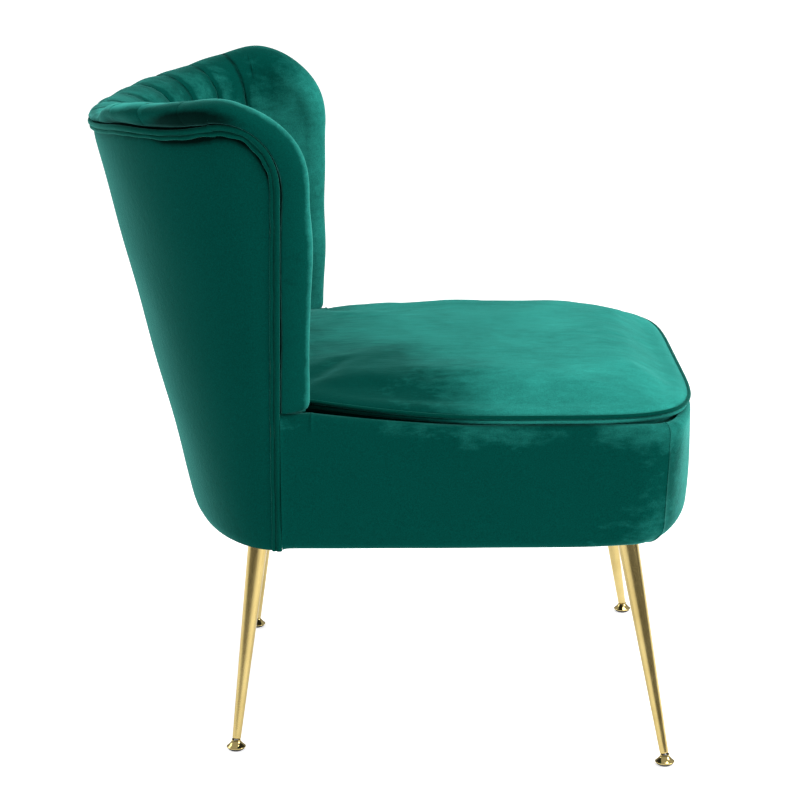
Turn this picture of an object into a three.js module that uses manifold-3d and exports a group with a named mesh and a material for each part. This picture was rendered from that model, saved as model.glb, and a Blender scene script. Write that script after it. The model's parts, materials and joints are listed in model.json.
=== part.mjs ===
// A scallop back lounge chair: a fluted back that wraps round the seat and rolls over at its
// edge, a crowned seat cushion on an upholstered base, and four splayed metal legs on level
// glides. Millimetres, +Z up. The chair faces -Y, it is symmetric about X = 0, and the floor
// is Z = 0.

import * as THREE from 'three';
import { mergeVertices } from 'three/addons/utils/BufferGeometryUtils.js';
import Module from 'manifold-3d';

const wasm = await Module();
wasm.setup();

// Clearances
const gap = 0.3;                  // left between pieces that touch
const seamGap = 0.5;              // left between two channels at the edge of the back
const cutOverrun = 6;             // how far a cutter runs past what it cuts

// Base, seen from outside
const baseBottom = 265;           // underside of the upholstered base
const baseTop = 405;              // top edge of the base at the front
const baseSweep = 15;             // how far that edge rises to meet the wings
const baseSweepLength = 150;      // over which it rises
const baseHalfWidth = 288;
const baseFront = 347;            // front of the base at its middle, ahead of the origin
const baseFrontDepth = 75.5;      // depth of the rounded front
const baseSeamSetBack = 45;       // seam of front and side panels, behind the front
const panelThickness = 8;
const panelLip = 1;               // flat edge left behind the panels' rounding
const panelRounding = panelThickness - panelLip;

// Back wall: its outside is a plan curve that widens and leans back as it rises
const rearReach = 237.5;           // rear of the back at the base's underside, behind the origin
const rearLean = 13.9;            // degrees
const wingFront = 87;             // front edge of the wings at their foot, behind the origin
const cornerSetBack = 37.5;       // straight side behind that edge, at the base's underside
const cornerDrift = 30;           // how much longer that side is at the wing tips
const wingFlare = 14;             // how much wider each side is at the wing tips
const wingLean = 5;               // how far forward the wing's edge leans where the corner starts
const backRise = 313;             // top of the back at its middle, over the base's top edge
const backHeight = baseTop + backRise;
const wingRise = 44;              // of the wing tips over the back's middle
const wingHeight = backHeight + wingRise;
const wingCornerRadius = 100;     // of the wing's upper front corner
const wingCornerTilt = 10;        // degrees by which the top edge rises into that corner
const wingFoot = baseTop + baseSweep + gap;

// Rolled edge, channels and trim
const rollRadius = 20;            // half the thickness of the rolled edge
const channelsPerSide = 5;        // on each side of the middle one
const channelsEndShare = 0.913;   // share of the top edge, up to the corner, with channels on it
const middleChannelShare = 1.085; // width of the middle channel, as a share of another's
const channelCrown = 11;          // swell of a channel between its seams
const edgeCrown = 2.2;            // the same, over the rolled edge
const rollSwellShare = 0.4;       // part of the full swell that is reached on the roll
const shoulderDepth = 18;         // by which the roll is deeper inward, at the back's middle
const shoulderDrop = 14;          // by which it reaches further down there
const lumbarPadding = 4;          // extra padding at the foot of the back
const fanRootShare = 0.66;        // share of the wall's half length taken by the channels' feet
const wingRootShare = 0.8;        // the same, with the wing panels
const weltSetBack = 14.8;         // middle of the double welt, below the middle of the roll
const weltInset = rollRadius + weltSetBack;
const weltCordRadius = 2.3;
const coverThickness = 4;

// Back frame
const frameThickness = 16;
const frameNear = rollRadius - frameThickness / 2;
const frameFar = rollRadius + frameThickness / 2;
const frameTuck = 4;              // of the frame's edge into the roll, past its middle
const frameInset = rollRadius - frameTuck;
const coreWrap = 1.6;             // of the padding's inside round the frame's edge
const rollCoreRadius = Math.hypot(frameTuck, frameThickness / 2) + coreWrap;
const topRailDepth = 46;
const wingFrameWidth = 41;
const postWidth = 45;
const postPlaceShare = 0.34;
const bandThickness = 1.7;
const bandSlack = 0.9;            // flat bands stand off the curved rails by this
const bandNear = frameFar + bandSlack;
const bandFar = bandNear + bandThickness;
const bandWidth = 38;
const bandPlaceShares = [-0.5, -0.25, 0, 0.25, 0.5];
const paddingClearance = 2.4;     // of the padding's back from the bands
const paddingBack = bandFar + paddingClearance;

// Seat frame
const railLift = 6;               // of the rails' underside over the base's
const railBottom = baseBottom + railLift;
const railDrop = 15;              // of the rails' top under the base's top edge
const railTop = baseTop - railDrop;
const railThickness = 22;
const stretcherHeight = 40;
const stretcherRise = 50;         // over the rails
const stretcherBottom = railTop + stretcherRise;
const crossBandShare = 0.43;      // of the way from the stretcher to the back's top
const crossBandBottom = stretcherBottom + crossBandShare * (backHeight - stretcherBottom);
const blockHeight = 40;
const blockMargin = 6;            // round the leg's plate
const blockFit = 0.7;             // glue line between block and rail
const seatRailInset = 90;         // front face of the springs' rear rail, from the rear
const seatRailPlace = rearReach - seatRailInset;
const dustCoverThickness = 1.2;
const dustCoverInset = 9;

// Seat springs and deck
const springCount = 4;
const springSpreadShare = 0.34;   // distance of two springs, as a share of the half width
const wireRadius = 1.9;
const zigzagHalfWidth = 19;
const zigzagPitch = 42;
const zigzagRise = 1.2;           // of a spring's middle over its ends
const springBendSteps = 3;
const clipWall = 1;
const clipLength = 14;
const tieShares = [0.32, 0.68];   // places of the tie wires along a spring
const springSeat = railTop + gap + clipWall + wireRadius;
const deckThickness = 3.3;
const deckBottom = springSeat + wireRadius + zigzagRise + gap;
const deckTop = deckBottom + deckThickness;
const paddingFoot = deckTop + gap;

// Seat cushion
const cushionSideInset = 4;       // widest line of the cushion inside the base's sides
const cushionHalfWidth = baseHalfWidth - cushionSideInset;
const cushionFrontDepth = 215.5;  // of its rounded front
const cushionPower = 5.2;         // squareness of that front
const cushionPipingRise = 9;      // over the base's top edge
const cushionPipingHeight = baseTop + cushionPipingRise;
const cushionCrown = 38.5;         // of its top over the piping
const cushionClearance = 0.8;     // of its border over the base's top edge
const cushionDrawIn = 5;
const cushionFootInset = 13;
const cushionBackGap = 3;         // to the channels
const pipingRadius = 2.6;

// Glides
const glideRimHeight = 2;
const padHeight = 4.6;
const padRecess = 1.2;            // how far the pad is let into the cone
const socketFloorThickness = 1;
const ballRadius = 3.6;
const ballClearance = 0.4;
const ballHeight = padHeight + socketFloorThickness + ballRadius + ballClearance;
const glideTop = ballHeight + ballRadius;
const glideWall = 3.2;
const glideTopRadius = ballRadius + ballClearance + glideWall;
const glideFlare = 4.1;
const glideRimRadius = glideTopRadius + glideFlare;
const padRimWidth = 4.5;
const padRadius = glideRimRadius - padRimWidth;
const legClearance = 0.5;         // of the leg's lower end over the cone
const legEnd = glideTop + legClearance;
const stemRadius = 2.4;
const stemLength = 34;
const stemClearance = 0.5;
const stemBoreRadius = stemRadius + stemClearance;
const stemBoreExtra = 2;          // depth left over the stem

// Legs
const legTopRadius = 12.6;
const legFootWall = 2.7;
const legFootRadius = stemBoreRadius + legFootWall;
const frontFootSideInset = 21;    // of the glides' middles inside the base's outline
const frontFootInset = 35;
const rearFootSideInset = 73.5;
const rearFootInset = 56.5;
const frontSplayOutShare = 0.237; // sideways, as a share of the height
const frontSplayForwardShare = 0.171;
const rearSplayOutShare = 0.2;
const rearSplayBackShare = 0.12;
const plateRadius = 27;
const plateThickness = 3;
const screwEdge = 7;              // of the screws' circle inside the plate's edge
const screwCircleRadius = plateRadius - screwEdge;
const screwCount = 4;
const screwHeadRadius = 4;
const screwHeadHeight = 1.7;
const screwShankRadius = 1.9;
const screwLength = 24;
const screwClearance = 0.35;

// Colours and finishes
const velvet = { color: '#0b5a4e', roughness: 0.85, metalness: 0 };
const velvetTrim = { color: '#0a4c42', roughness: 0.85, metalness: 0 };
const wood = { color: '#c8a878', roughness: 0.75, metalness: 0 };
const plywood = { color: '#b98f5c', roughness: 0.75, metalness: 0 };
const steel = { color: '#8d9094', roughness: 0.4, metalness: 1 };
const gold = { color: '#d0b46a', roughness: 0.22, metalness: 1 };
const webbingCloth = { color: '#2b2b2b', roughness: 0.95, metalness: 0 };
const felt = { color: '#d8d2c4', roughness: 0.95, metalness: 0 };
const blackCloth = { color: '#17181a', roughness: 0.95, metalness: 0 };
const rubber = { color: '#141414', roughness: 0.7, metalness: 0 };

const chair = new THREE.Group();
const degrees = Math.PI / 180;
const quarterTurn = Math.PI / 2;

// Shapes shared by the pieces

function addPiece(name, geometry, finish) {
  const mesh = new THREE.Mesh(geometry, new THREE.MeshStandardMaterial(finish));
  mesh.name = name;
  chair.add(mesh);
}

function range(count) {
  return Array.from({ length: count }, (_, i) => i);
}

function shares(count) {
  return range(count + 1).map((i) => i / count);
}

function ease(share) {
  const t = Math.min(Math.max(share, 0), 1);
  return t * t * (3 - 2 * t);
}

function signedVolume(positions, index) {
  const a = new THREE.Vector3();
  const b = new THREE.Vector3();
  const c = new THREE.Vector3();
  let sum = 0;
  for (let i = 0; i < index.length; i += 3) {
    a.fromArray(positions, 3 * index[i]);
    b.fromArray(positions, 3 * index[i + 1]);
    c.fromArray(positions, 3 * index[i + 2]);
    sum += a.dot(b.cross(c)) / 6;
  }
  return sum;
}

// A geometry from points and triangles, with its faces turned outward
function bodyFrom(points, triangles) {
  const positions = new Float32Array(points.flatMap((p) => [p.x, p.y, p.z]));
  const index = triangles.flat();
  if (signedVolume(positions, index) < 0) index.reverse();
  const geometry = new THREE.BufferGeometry();
  geometry.setAttribute('position', new THREE.BufferAttribute(positions, 3));
  geometry.setIndex(index);
  return geometry;
}

function quad(a, b, c, d) {
  return [[a, b, c], [a, c, d]];
}

// A panel between two grids of points of one size, closed round its four borders
function panelBody(front, back) {
  const rows = front.length;
  const columns = front[0].length;
  const points = [...front.flat(), ...back.flat()];
  const offset = rows * columns;
  const at = (i, j) => i * columns + j;
  const triangles = [];
  for (let i = 0; i + 1 < rows; i += 1) {
    for (let j = 0; j + 1 < columns; j += 1) {
      const corners = [at(i, j), at(i + 1, j), at(i + 1, j + 1), at(i, j + 1)];
      triangles.push(...quad(...corners));
      triangles.push(...quad(...corners.map((k) => k + offset).reverse()));
    }
  }
  const border = [
    ...range(columns - 1).map((j) => [at(0, j), at(0, j + 1)]),
    ...range(rows - 1).map((i) => [at(i, columns - 1), at(i + 1, columns - 1)]),
    ...range(columns - 1).map((j) => [at(rows - 1, j + 1), at(rows - 1, j)]),
    ...range(rows - 1).map((i) => [at(i + 1, 0), at(i, 0)]),
  ];
  for (const [p, q] of border) {
    const corners = [p, q, q + offset, p + offset];
    triangles.push(...(p < q ? quad(...corners) : quad(...corners.slice(1), p)));
  }
  return bodyFrom(points, triangles);
}

// A body of closed rings, one after another, ended by a point or a flat face at each end
function ringBody(rings, firstEnd, lastEnd) {
  const count = rings[0].length;
  const points = [...rings.flat(), firstEnd, lastEnd];
  const first = rings.length * count;
  const triangles = [];
  for (let i = 0; i + 1 < rings.length; i += 1) {
    for (const j of range(count)) {
      const next = (j + 1) % count;
      const low = i * count;
      const high = low + count;
      triangles.push(...quad(low + j, low + next, high + next, high + j));
    }
  }
  for (const j of range(count)) {
    const next = (j + 1) % count;
    const last = (rings.length - 1) * count;
    triangles.push([first, next, j]);
    triangles.push([first + 1, last + j, last + next]);
  }
  return bodyFrom(points, triangles);
}

// The same, closed on itself like a bent ring
function loopBody(rings) {
  const count = rings[0].length;
  const triangles = [];
  for (const i of range(rings.length)) {
    const after = ((i + 1) % rings.length) * count;
    for (const j of range(count)) {
      const next = (j + 1) % count;
      triangles.push(...quad(i * count + j, i * count + next, after + next, after + j));
    }
  }
  return bodyFrom(rings.flat(), triangles);
}

function middleOf(points) {
  const sum = new THREE.Vector3();
  for (const p of points) sum.add(p);
  return sum.divideScalar(points.length);
}

function toSolid(geometry) {
  const bare = geometry.clone();
  bare.deleteAttribute('normal');
  bare.deleteAttribute('uv');
  const merged = mergeVertices(bare);
  return new wasm.Manifold(new wasm.Mesh({
    numProp: 3,
    vertProperties: new Float32Array(merged.attributes.position.array),
    triVerts: new Uint32Array(merged.index.array),
  }));
}

function fromSolid(solid) {
  const mesh = solid.getMesh();
  const geometry = new THREE.BufferGeometry();
  geometry.setAttribute('position', new THREE.BufferAttribute(mesh.vertProperties, 3));
  geometry.setIndex(new THREE.BufferAttribute(mesh.triVerts, 1));
  return geometry;
}

function cutAll(geometry, cutters) {
  return fromSolid(cutters.reduce((body, cutter) => body.subtract(toSolid(cutter)), toSolid(geometry)));
}

function joinAll(geometries) {
  return fromSolid(geometries.map(toSolid).reduce((body, other) => body.add(other)));
}

// A turned body about +Z, from [radius, height] pairs that start and end on the axis
function turned(profile, sides) {
  const points = profile.map(([radius, height]) => new THREE.Vector2(radius, height));
  return new THREE.LatheGeometry(points, sides).rotateX(quarterTurn);
}

function levelPlate(points, bottom, thickness, holes = []) {
  const shape = new THREE.Shape(points);
  shape.holes = holes;
  const options = { depth: thickness, bevelEnabled: false, curveSegments: 5 };
  return new THREE.ExtrudeGeometry(shape, options).translate(0, 0, bottom);
}

// Half of a plan curve, as points with their running length and inward direction
function measuredCurve(points) {
  const table = points.map((p) => ({ point: p, length: 0, inward: new THREE.Vector2() }));
  for (let i = 1; i < table.length; i += 1) {
    table[i].length = table[i - 1].length + points[i].distanceTo(points[i - 1]);
  }
  for (let i = 0; i < table.length; i += 1) {
    const before = points[Math.max(i - 1, 0)];
    const after = points[Math.min(i + 1, points.length - 1)];
    const along = after.clone().sub(before).normalize();
    table[i].inward.set(along.y, -along.x);
  }
  table[0].inward.set(0, Math.sign(table[0].inward.y));
  return table;
}

// A place on a half curve: run along it, mirrored for a negative run, and set in by depth
function placeOn(table, run, depth) {
  const side = run < 0 ? -1 : 1;
  const wanted = Math.abs(run);
  let i = 1;
  while (i + 1 < table.length && table[i].length < wanted) i += 1;
  const start = table[i - 1];
  const end = table[i];
  const t = (wanted - start.length) / (end.length - start.length);
  const point = start.point.clone().lerp(end.point, t);
  const inward = start.inward.clone().lerp(end.inward, Math.min(t, 1)).normalize();
  return new THREE.Vector2(side * (point.x + depth * inward.x), point.y + depth * inward.y);
}

function roundedQuarter(halfWidth, depth, power, count) {
  return shares(count).map((t) => new THREE.Vector2(
    halfWidth * Math.sin(t * quarterTurn) ** (2 / power),
    depth * Math.cos(t * quarterTurn) ** (2 / power),
  ));
}

// The place between two runs where a test of the run first fails
function lastRun(low, high, holds) {
  let from = low;
  let to = high;
  for (const _ of range(40)) {
    const middle = (from + to) / 2;
    if (holds(middle)) from = middle;
    else to = middle;
  }
  return from;
}

// The back wall

const wallCurvePower = 1.9;
const flarePower = 1.5;
const wallSamples = 48;
const cornerCentreHeight = wingHeight - wingCornerRadius;
const wallTables = new Map();

function flareAt(z) {
  const share = Math.max(z - baseTop, 0) / (wingHeight - baseTop);
  return wingFlare * share ** flarePower;
}

function wingFrontAt(z) {
  const share = (z - wingFoot) / (cornerCentreHeight - wingFoot);
  return wingFront - wingLean * Math.min(Math.max(share, 0), 1);
}

function wallTable(z) {
  if (!wallTables.has(z)) {
    const rise = z - baseBottom;
    const sideEnd = wingFront + cornerSetBack + cornerDrift * (rise / (wingHeight - baseBottom));
    const rear = rearReach + Math.tan(rearLean * degrees) * rise;
    const halfWidth = baseHalfWidth + flareAt(z);
    const points = roundedQuarter(halfWidth, rear - sideEnd, wallCurvePower, wallSamples);
    for (const p of points) p.y += sideEnd;
    points.push(new THREE.Vector2(halfWidth, wingFrontAt(z)));
    wallTables.set(z, measuredCurve(points));
  }
  return wallTables.get(z);
}

function wallLength(z) {
  return wallTable(z).at(-1).length;
}

// A point of the wall: run from the middle of the rear, height, and depth inward
function wall(run, z, depth) {
  const place = placeOn(wallTable(z), run, depth);
  return new THREE.Vector3(place.x, place.y, z);
}

// The edge of the wall, drawn flat: up the middle, along the top, round the wing's corner and
// down its front. A place on it is given by its length from the middle of the top.
const cornerTurn = quarterTurn + wingCornerTilt * degrees;
const cornerTopHeight = cornerCentreHeight + wingCornerRadius * Math.cos(wingCornerTilt * degrees);
const cornerTopRun = wallLength(wingHeight) - wingCornerRadius * (1 + Math.sin(wingCornerTilt * degrees));
const topRise = cornerTopHeight - backHeight;
const topPower = Math.tan(wingCornerTilt * degrees) * cornerTopRun / topRise;
const cornerEndAt = cornerTopRun + wingCornerRadius * cornerTurn;
const wingFootAt = cornerEndAt + cornerCentreHeight - wingFoot;

function edge(along, inset) {
  const side = along < 0 ? -1 : 1;
  const a = Math.abs(along);
  if (a <= cornerTopRun) {
    const share = a / cornerTopRun;
    const slope = share > 0 ? topPower * (topRise / cornerTopRun) * share ** (topPower - 1) : 0;
    const scale = inset / Math.hypot(1, slope);
    const height = backHeight + topRise * share ** topPower;
    return { run: side * (a + slope * scale), z: height - scale };
  }
  if (a <= cornerEndAt) {
    const angle = cornerTurn - (a - cornerTopRun) / wingCornerRadius;
    const z = cornerCentreHeight + (wingCornerRadius - inset) * Math.sin(angle);
    const fromFront = wingCornerRadius - (wingCornerRadius - inset) * Math.cos(angle);
    return { run: side * (wallLength(z) - fromFront), z };
  }
  const z = cornerCentreHeight - (a - cornerEndAt);
  return { run: side * (wallLength(z) - inset), z };
}

function onWall(along, inset, depth) {
  const place = edge(along, inset);
  return wall(place.run, place.z, depth);
}

// Channels and wing panels: a skin that starts at the welt, rolls over the edge and runs down
// the inside of the wall to its foot

const channelEdge = channelsEndShare * cornerTopRun;
const channelWidth = channelEdge / (channelsPerSide + middleChannelShare / 2);
const middleChannelWidth = middleChannelShare * channelWidth;
const cornerSteps = 6;
const rollAngles = shares(6).map((t) => Math.PI * t);
const faceStart = 16;              // of the flat inner face below the roll's middle
const footSwellShare = 0.5;        // of the swell that is left at the padding's foot
const channelSwellPower = 0.6;
const wingSwellShare = 0.45;       // of a channel's swell, on the wing panels
const wingSwellPower = 0.7;
const rollEndInset = weltInset - 2 * weltCordRadius - gap;
const faceShares = [0.22, 0.48, 0.76, 1];

function rootRunShare(along) {
  const a = Math.abs(along);
  if (a <= channelEdge) return fanRootShare * (a / channelEdge);
  const rest = (a - channelEdge) / (wingFootAt - channelEdge);
  return fanRootShare + (wingRootShare - fanRootShare) * rest;
}

// How near a place is to the middle of the back: 1 there, 0 at the wing's foot
function middleShare(along) {
  return Math.cos(quarterTurn * Math.min(Math.abs(along) / wingFootAt, 1)) ** 2;
}

// Padding of the inner face: deeper in the middle of the back, and most low down
function innerDepth(along, faceShare) {
  const extra = shoulderDepth + lumbarPadding * ease(faceShare);
  return 2 * rollRadius + extra * middleShare(along);
}

// One line of skin across the edge, with its swell, and the line under it on the frame
function paddingLine(along, swell) {
  const skin = [];
  const under = [];
  const edgeSwell = edgeCrown * swell;
  const drop = shoulderDrop * middleShare(along);
  const reachIn = shoulderDepth * middleShare(along);
  skin.push(onWall(along, rollEndInset, -edgeSwell / 2));
  under.push(onWall(along, rollEndInset, rollRadius - rollCoreRadius));
  for (const angle of rollAngles) {
    const inner = rollSwellShare * (channelCrown - edgeCrown) * ease(angle / quarterTurn - 1);
    const radius = rollRadius + swell * (edgeCrown + inner);
    const across = Math.sin(angle);
    const deep = Math.cos(angle);
    const inside = Math.max(-deep, 0);
    const inset = rollRadius - radius * across + (angle > quarterTurn ? drop * (1 - across) : 0);
    skin.push(onWall(along, inset, rollRadius - radius * deep + reachIn * inside));
    under.push(onWall(along, rollRadius - rollCoreRadius * across, rollRadius - rollCoreRadius * deep));
  }
  const start = edge(along, rollRadius + faceStart + drop);
  const rootRun = Math.sign(along) * rootRunShare(along) * wallLength(paddingFoot);
  const steps = [0, ...faceShares];
  for (const t of steps) {
    const z = start.z + (paddingFoot - start.z) * t;
    const run = start.run + (rootRun - start.run) * t;
    const rounding = t === 1 ? footSwellShare : 1;
    const depth = innerDepth(along, t) + channelCrown * swell * rounding;
    skin.push(wall(run, z, depth));
    under.push(wall(run, z, paddingBack));
  }
  return { skin, under };
}

function paddingBody(stations) {
  const lines = stations.map(({ along, swell }) => paddingLine(along, swell));
  return panelBody(lines.map((l) => l.skin), lines.map((l) => l.under));
}

const swellShares = [0, 0.14, 0.5, 0.86, 1];

function makeChannel(order) {
  const width = order === 0 ? middleChannelWidth : channelWidth;
  const middle = Math.sign(order) * (middleChannelWidth - channelWidth) / 2 + order * channelWidth;
  const start = middle - width / 2 + seamGap / 2;
  const span = width - seamGap;
  const stations = swellShares.map((t) => ({
    along: start + span * t,
    swell: Math.sin(Math.PI * t) ** channelSwellPower,
  }));
  addPiece(`back_channel_${order + channelsPerSide + 1}`, paddingBody(stations), velvet);
}

for (const k of range(2 * channelsPerSide + 1)) makeChannel(k - channelsPerSide);

// Wing panels: the swell dies away from the first seam toward the wing's front
const wingTopSteps = 2;
const wingFrontSteps = 4;

function makeWingPanel(side, name) {
  const places = [
    ...shares(wingTopSteps).map((t) => channelEdge + seamGap / 2 + (cornerTopRun - channelEdge) * t),
    ...shares(cornerSteps).slice(1).map((t) => cornerTopRun + (cornerEndAt - cornerTopRun) * t),
    ...shares(wingFrontSteps).slice(1).map((t) => cornerEndAt + (wingFootAt - cornerEndAt) * t),
  ];
  places[0] = channelEdge + seamGap / 2;
  const stations = places.map((a) => {
    const share = (a - places[0]) / (wingFootAt - places[0]);
    const swell = wingSwellShare * Math.sin(Math.PI * Math.sqrt(share)) ** wingSwellPower;
    return { along: side * a, swell };
  });
  addPiece(name, paddingBody(stations), velvet);
}

makeWingPanel(-1, 'wing_panel_right');
makeWingPanel(1, 'wing_panel_left');

// Outside cover: one panel from the welt down to the base's underside

const coverInset = weltInset + 2 * weltCordRadius + gap;
const trimTopSteps = 9;
const coverRows = 4;

function makeOutsideCover() {
  const tops = [
    ...shares(trimTopSteps).map((t) => cornerTopRun * t),
    ...shares(cornerSteps).slice(1).map((t) => cornerTopRun + (cornerEndAt - cornerTopRun) * t),
  ];
  const half = tops.map((a) => edge(a, coverInset));
  const cornerReach = wallLength(half[trimTopSteps].z) - half[trimTopSteps].run;
  const runDown = (top, z) => {
    const fromFront = wallLength(top.z) - top.run;
    if (fromFront <= cornerReach) return wallLength(z) - fromFront;
    return (wallLength(z) - cornerReach) * (top.run / (wallLength(top.z) - cornerReach));
  };
  const column = (top, side, depth) => shares(coverRows).map((t) => {
    const z = baseBottom + (top.z - baseBottom) * t;
    return wall(side * runDown(top, z), z, depth);
  });
  const face = (depth) => [
    ...half.slice(1).reverse().map((top) => column(top, -1, depth)),
    ...half.map((top) => column(top, 1, depth)),
  ];
  addPiece('outside_back_cover', panelBody(face(0), face(coverThickness)), velvet);
}

makeOutsideCover();

// Double welt: two cords in one strip of cloth, an eight-shaped section carried round the edge

const weltSectionShares = [
  [-2, 0], [-1, 1], [0, 0.35], [1, 1], [2, 0], [1, -1], [0, -0.6], [-1, -1],
];

function makeDoubleWelt() {
  const weltEnd = cornerEndAt + cornerCentreHeight - baseBottom;
  const half = [
    ...shares(trimTopSteps).map((t) => cornerTopRun * t),
    ...shares(cornerSteps).slice(1).map((t) => cornerTopRun + (cornerEndAt - cornerTopRun) * t),
    ...shares(coverRows).slice(1).map((t) => cornerEndAt + (weltEnd - cornerEndAt) * t),
  ];
  const whole = [...half.slice(1).reverse().map((a) => -a), ...half];
  const rings = whole.map((a) => weltSectionShares.map(([across, up]) => (
    onWall(a, weltInset + across * weltCordRadius, -up * weltCordRadius)
  )));
  addPiece('double_welt', ringBody(rings, middleOf(rings[0]), middleOf(rings.at(-1))), velvetTrim);
}

makeDoubleWelt();

// Back frame: top rail, wing frames, rear posts, stretchers and webbing bands

function frameBand(places, insetNear, insetFar) {
  const insets = shares(3).map((t) => insetNear + (insetFar - insetNear) * t);
  const face = (depth) => places.map((a) => insets.map((inset) => onWall(a, inset, depth)));
  return panelBody(face(frameNear), face(frameFar));
}

const wingFrameStart = channelEdge - channelWidth / 2;
const topRailSteps = 24;
const levelSteps = 30;            // along a band or rail that goes round the back
const topRailPlaces = shares(topRailSteps).map((t) => wingFrameStart * (2 * t - 1));
addPiece('back_top_rail', frameBand(topRailPlaces, frameInset, frameInset + topRailDepth), plywood);

function makeWingFrame(side, name) {
  const foot = cornerEndAt + cornerCentreHeight - railBottom;
  const places = [
    ...shares(3).map((t) => wingFrameStart + gap + (cornerTopRun - wingFrameStart - gap) * t),
    ...shares(cornerSteps).slice(1).map((t) => cornerTopRun + (cornerEndAt - cornerTopRun) * t),
    ...shares(4).slice(1).map((t) => cornerEndAt + (foot - cornerEndAt) * t),
  ].map((a) => side * a);
  addPiece(name, frameBand(places, frameInset, frameInset + wingFrameWidth), plywood);
}

makeWingFrame(-1, 'wing_frame_right');
makeWingFrame(1, 'wing_frame_left');

// Height of the line at an inset under the top edge, over a column of the wall
function heightUnderEdge(runShare, shift, inset) {
  let z = backHeight - inset;
  for (const _ of range(6)) {
    const run = Math.abs(runShare * wallLength(z) + shift);
    const along = lastRun(0, cornerTopRun, (a) => edge(a, inset).run < run);
    z = edge(along, inset).z;
  }
  return z;
}

function uprightBand(runShare, halfWidth, bottom, topInset, near, far, rows) {
  const face = (depth) => shares(rows).map((t) => [-1, 0, 1].map((side) => {
    const shift = side * halfWidth;
    const top = heightUnderEdge(runShare, shift, topInset);
    const z = bottom + (top - bottom) * t;
    return wall(runShare * wallLength(z) + shift, z, depth);
  }));
  return panelBody(face(near), face(far));
}

function levelBand(fromRun, toRun, bottom, top, near, far, steps) {
  const face = (depth) => shares(steps).map((t) => [bottom, top].map((z) => {
    const run = fromRun(z) + (toRun(z) - fromRun(z)) * t;
    return wall(run, z, depth);
  }));
  return panelBody(face(near), face(far));
}

const wingFrameInner = frameInset + wingFrameWidth + gap;
const atWing = (z) => wallLength(z) - wingFrameInner;
const lapDepth = (frameNear + frameFar) / 2;

function stretcherBand(clearance) {
  const bottom = stretcherBottom - clearance;
  const top = stretcherBottom + stretcherHeight + clearance;
  const far = frameFar + cutOverrun * Math.sign(clearance);
  return levelBand((z) => -atWing(z), atWing, bottom, top, lapDepth - clearance, far, levelSteps);
}

addPiece('back_stretcher', stretcherBand(0), wood);

// The rear posts stand on the rear rail and are half-lapped over the stretcher
const postTopInset = frameInset + topRailDepth + 2 * gap;
for (const [side, name] of [[-1, 'rear_post_right'], [1, 'rear_post_left']]) {
  const place = side * postPlaceShare;
  const post = uprightBand(place, postWidth / 2, railTop + gap, postTopInset, frameNear, frameFar, 3);
  addPiece(name, cutAll(post, [stretcherBand(gap)]), wood);
}

// Elastic webbing: upright bands from the top rail to the stretcher, with a level one sewn
// across them
const bandTopInset = frameInset + topRailDepth / 2;
const crossBandTop = crossBandBottom + bandWidth;
addPiece('back_webbing', joinAll([
  ...bandPlaceShares.map((share) => (
    uprightBand(share, bandWidth / 2, stretcherBottom, bandTopInset, bandNear, bandFar, 2)
  )),
  levelBand((z) => -atWing(z), atWing, crossBandBottom, crossBandTop, bandNear, bandFar, levelSteps),
]), webbingCloth);

// Seat frame

const baseFootPower = 2.35;       // squareness of the base's front at its underside
const baseTopPower = 3.6;         // and at its top edge
const frontBreakEvery = 4;
const frontSamples = wallSamples / frontBreakEvery;

function baseCurve(power) {
  const points = roundedQuarter(baseHalfWidth, -baseFrontDepth, power, wallSamples);
  for (const p of points) p.y -= baseFront - baseFrontDepth;
  points.push(new THREE.Vector2(baseHalfWidth, wingFront));
  const table = measuredCurve(points);
  for (const entry of table) entry.inward.negate();
  return table;
}

const baseTable = baseCurve(baseFootPower);
const baseTopTable = baseCurve(baseTopPower);
const frontCurveLength = baseTable.at(-2).length;
const topCurveLength = baseTopTable.at(-2).length;
const frontBreaks = range(frontSamples + 1).map((i) => baseTable[i * frontBreakEvery].length);
const baseSideStart = frontCurveLength;
const baseSideY = -(baseFront - baseFrontDepth);

function baseSide(run, z, depth) {
  const place = placeOn(baseTable, run, depth);
  return new THREE.Vector3(place.x, place.y, z);
}

// The same at the top edge, where the corners are squarer
function baseTopSide(run, z, depth) {
  const reach = Math.abs(run);
  const along = reach < frontCurveLength
    ? reach * (topCurveLength / frontCurveLength)
    : topCurveLength + (reach - frontCurveLength);
  const place = placeOn(baseTopTable, Math.sign(run) * along, depth);
  return new THREE.Vector3(place.x, place.y, z);
}

// Run along the base at which its outline has come back to a given y
function runAtY(y) {
  if (y >= baseSideY) return baseSideStart + (y - baseSideY);
  let i = 1;
  while (baseTable[i].point.y < y) i += 1;
  const t = (y - baseTable[i - 1].point.y) / (baseTable[i].point.y - baseTable[i - 1].point.y);
  return baseTable[i - 1].length + (baseTable[i].length - baseTable[i - 1].length) * t;
}

function baseBand(runs, bottom, top, near, far) {
  const face = (depth) => runs.map((run) => [baseSide(run, bottom, depth), baseSide(run, top, depth)]);
  return panelBody(face(near), face(far));
}

const railNear = panelThickness + gap;
const railFar = railNear + railThickness;

function bothSides(runs) {
  return [...runs.slice(1).reverse().map((run) => -run), ...runs];
}

const frontRailRuns = bothSides(frontBreaks);
addPiece('front_rail', baseBand(frontRailRuns, railBottom, railTop, railNear, railFar), wood);

for (const [side, name] of [[-1, 'side_rail_right'], [1, 'side_rail_left']]) {
  const start = baseSideStart + gap;
  const end = runAtY(wingFrontAt(railTop) + frameInset - gap);
  const runs = [side * start, side * end];
  addPiece(name, baseBand(runs, railBottom, railTop, railNear, railFar), wood);
}

const rearRail = levelBand((z) => -atWing(z), atWing, railBottom, railTop, frameNear, frameFar, levelSteps);
addPiece('rear_rail', rearRail, wood);

// Legs: their places, the screws, plates, tubes and blocks

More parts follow.
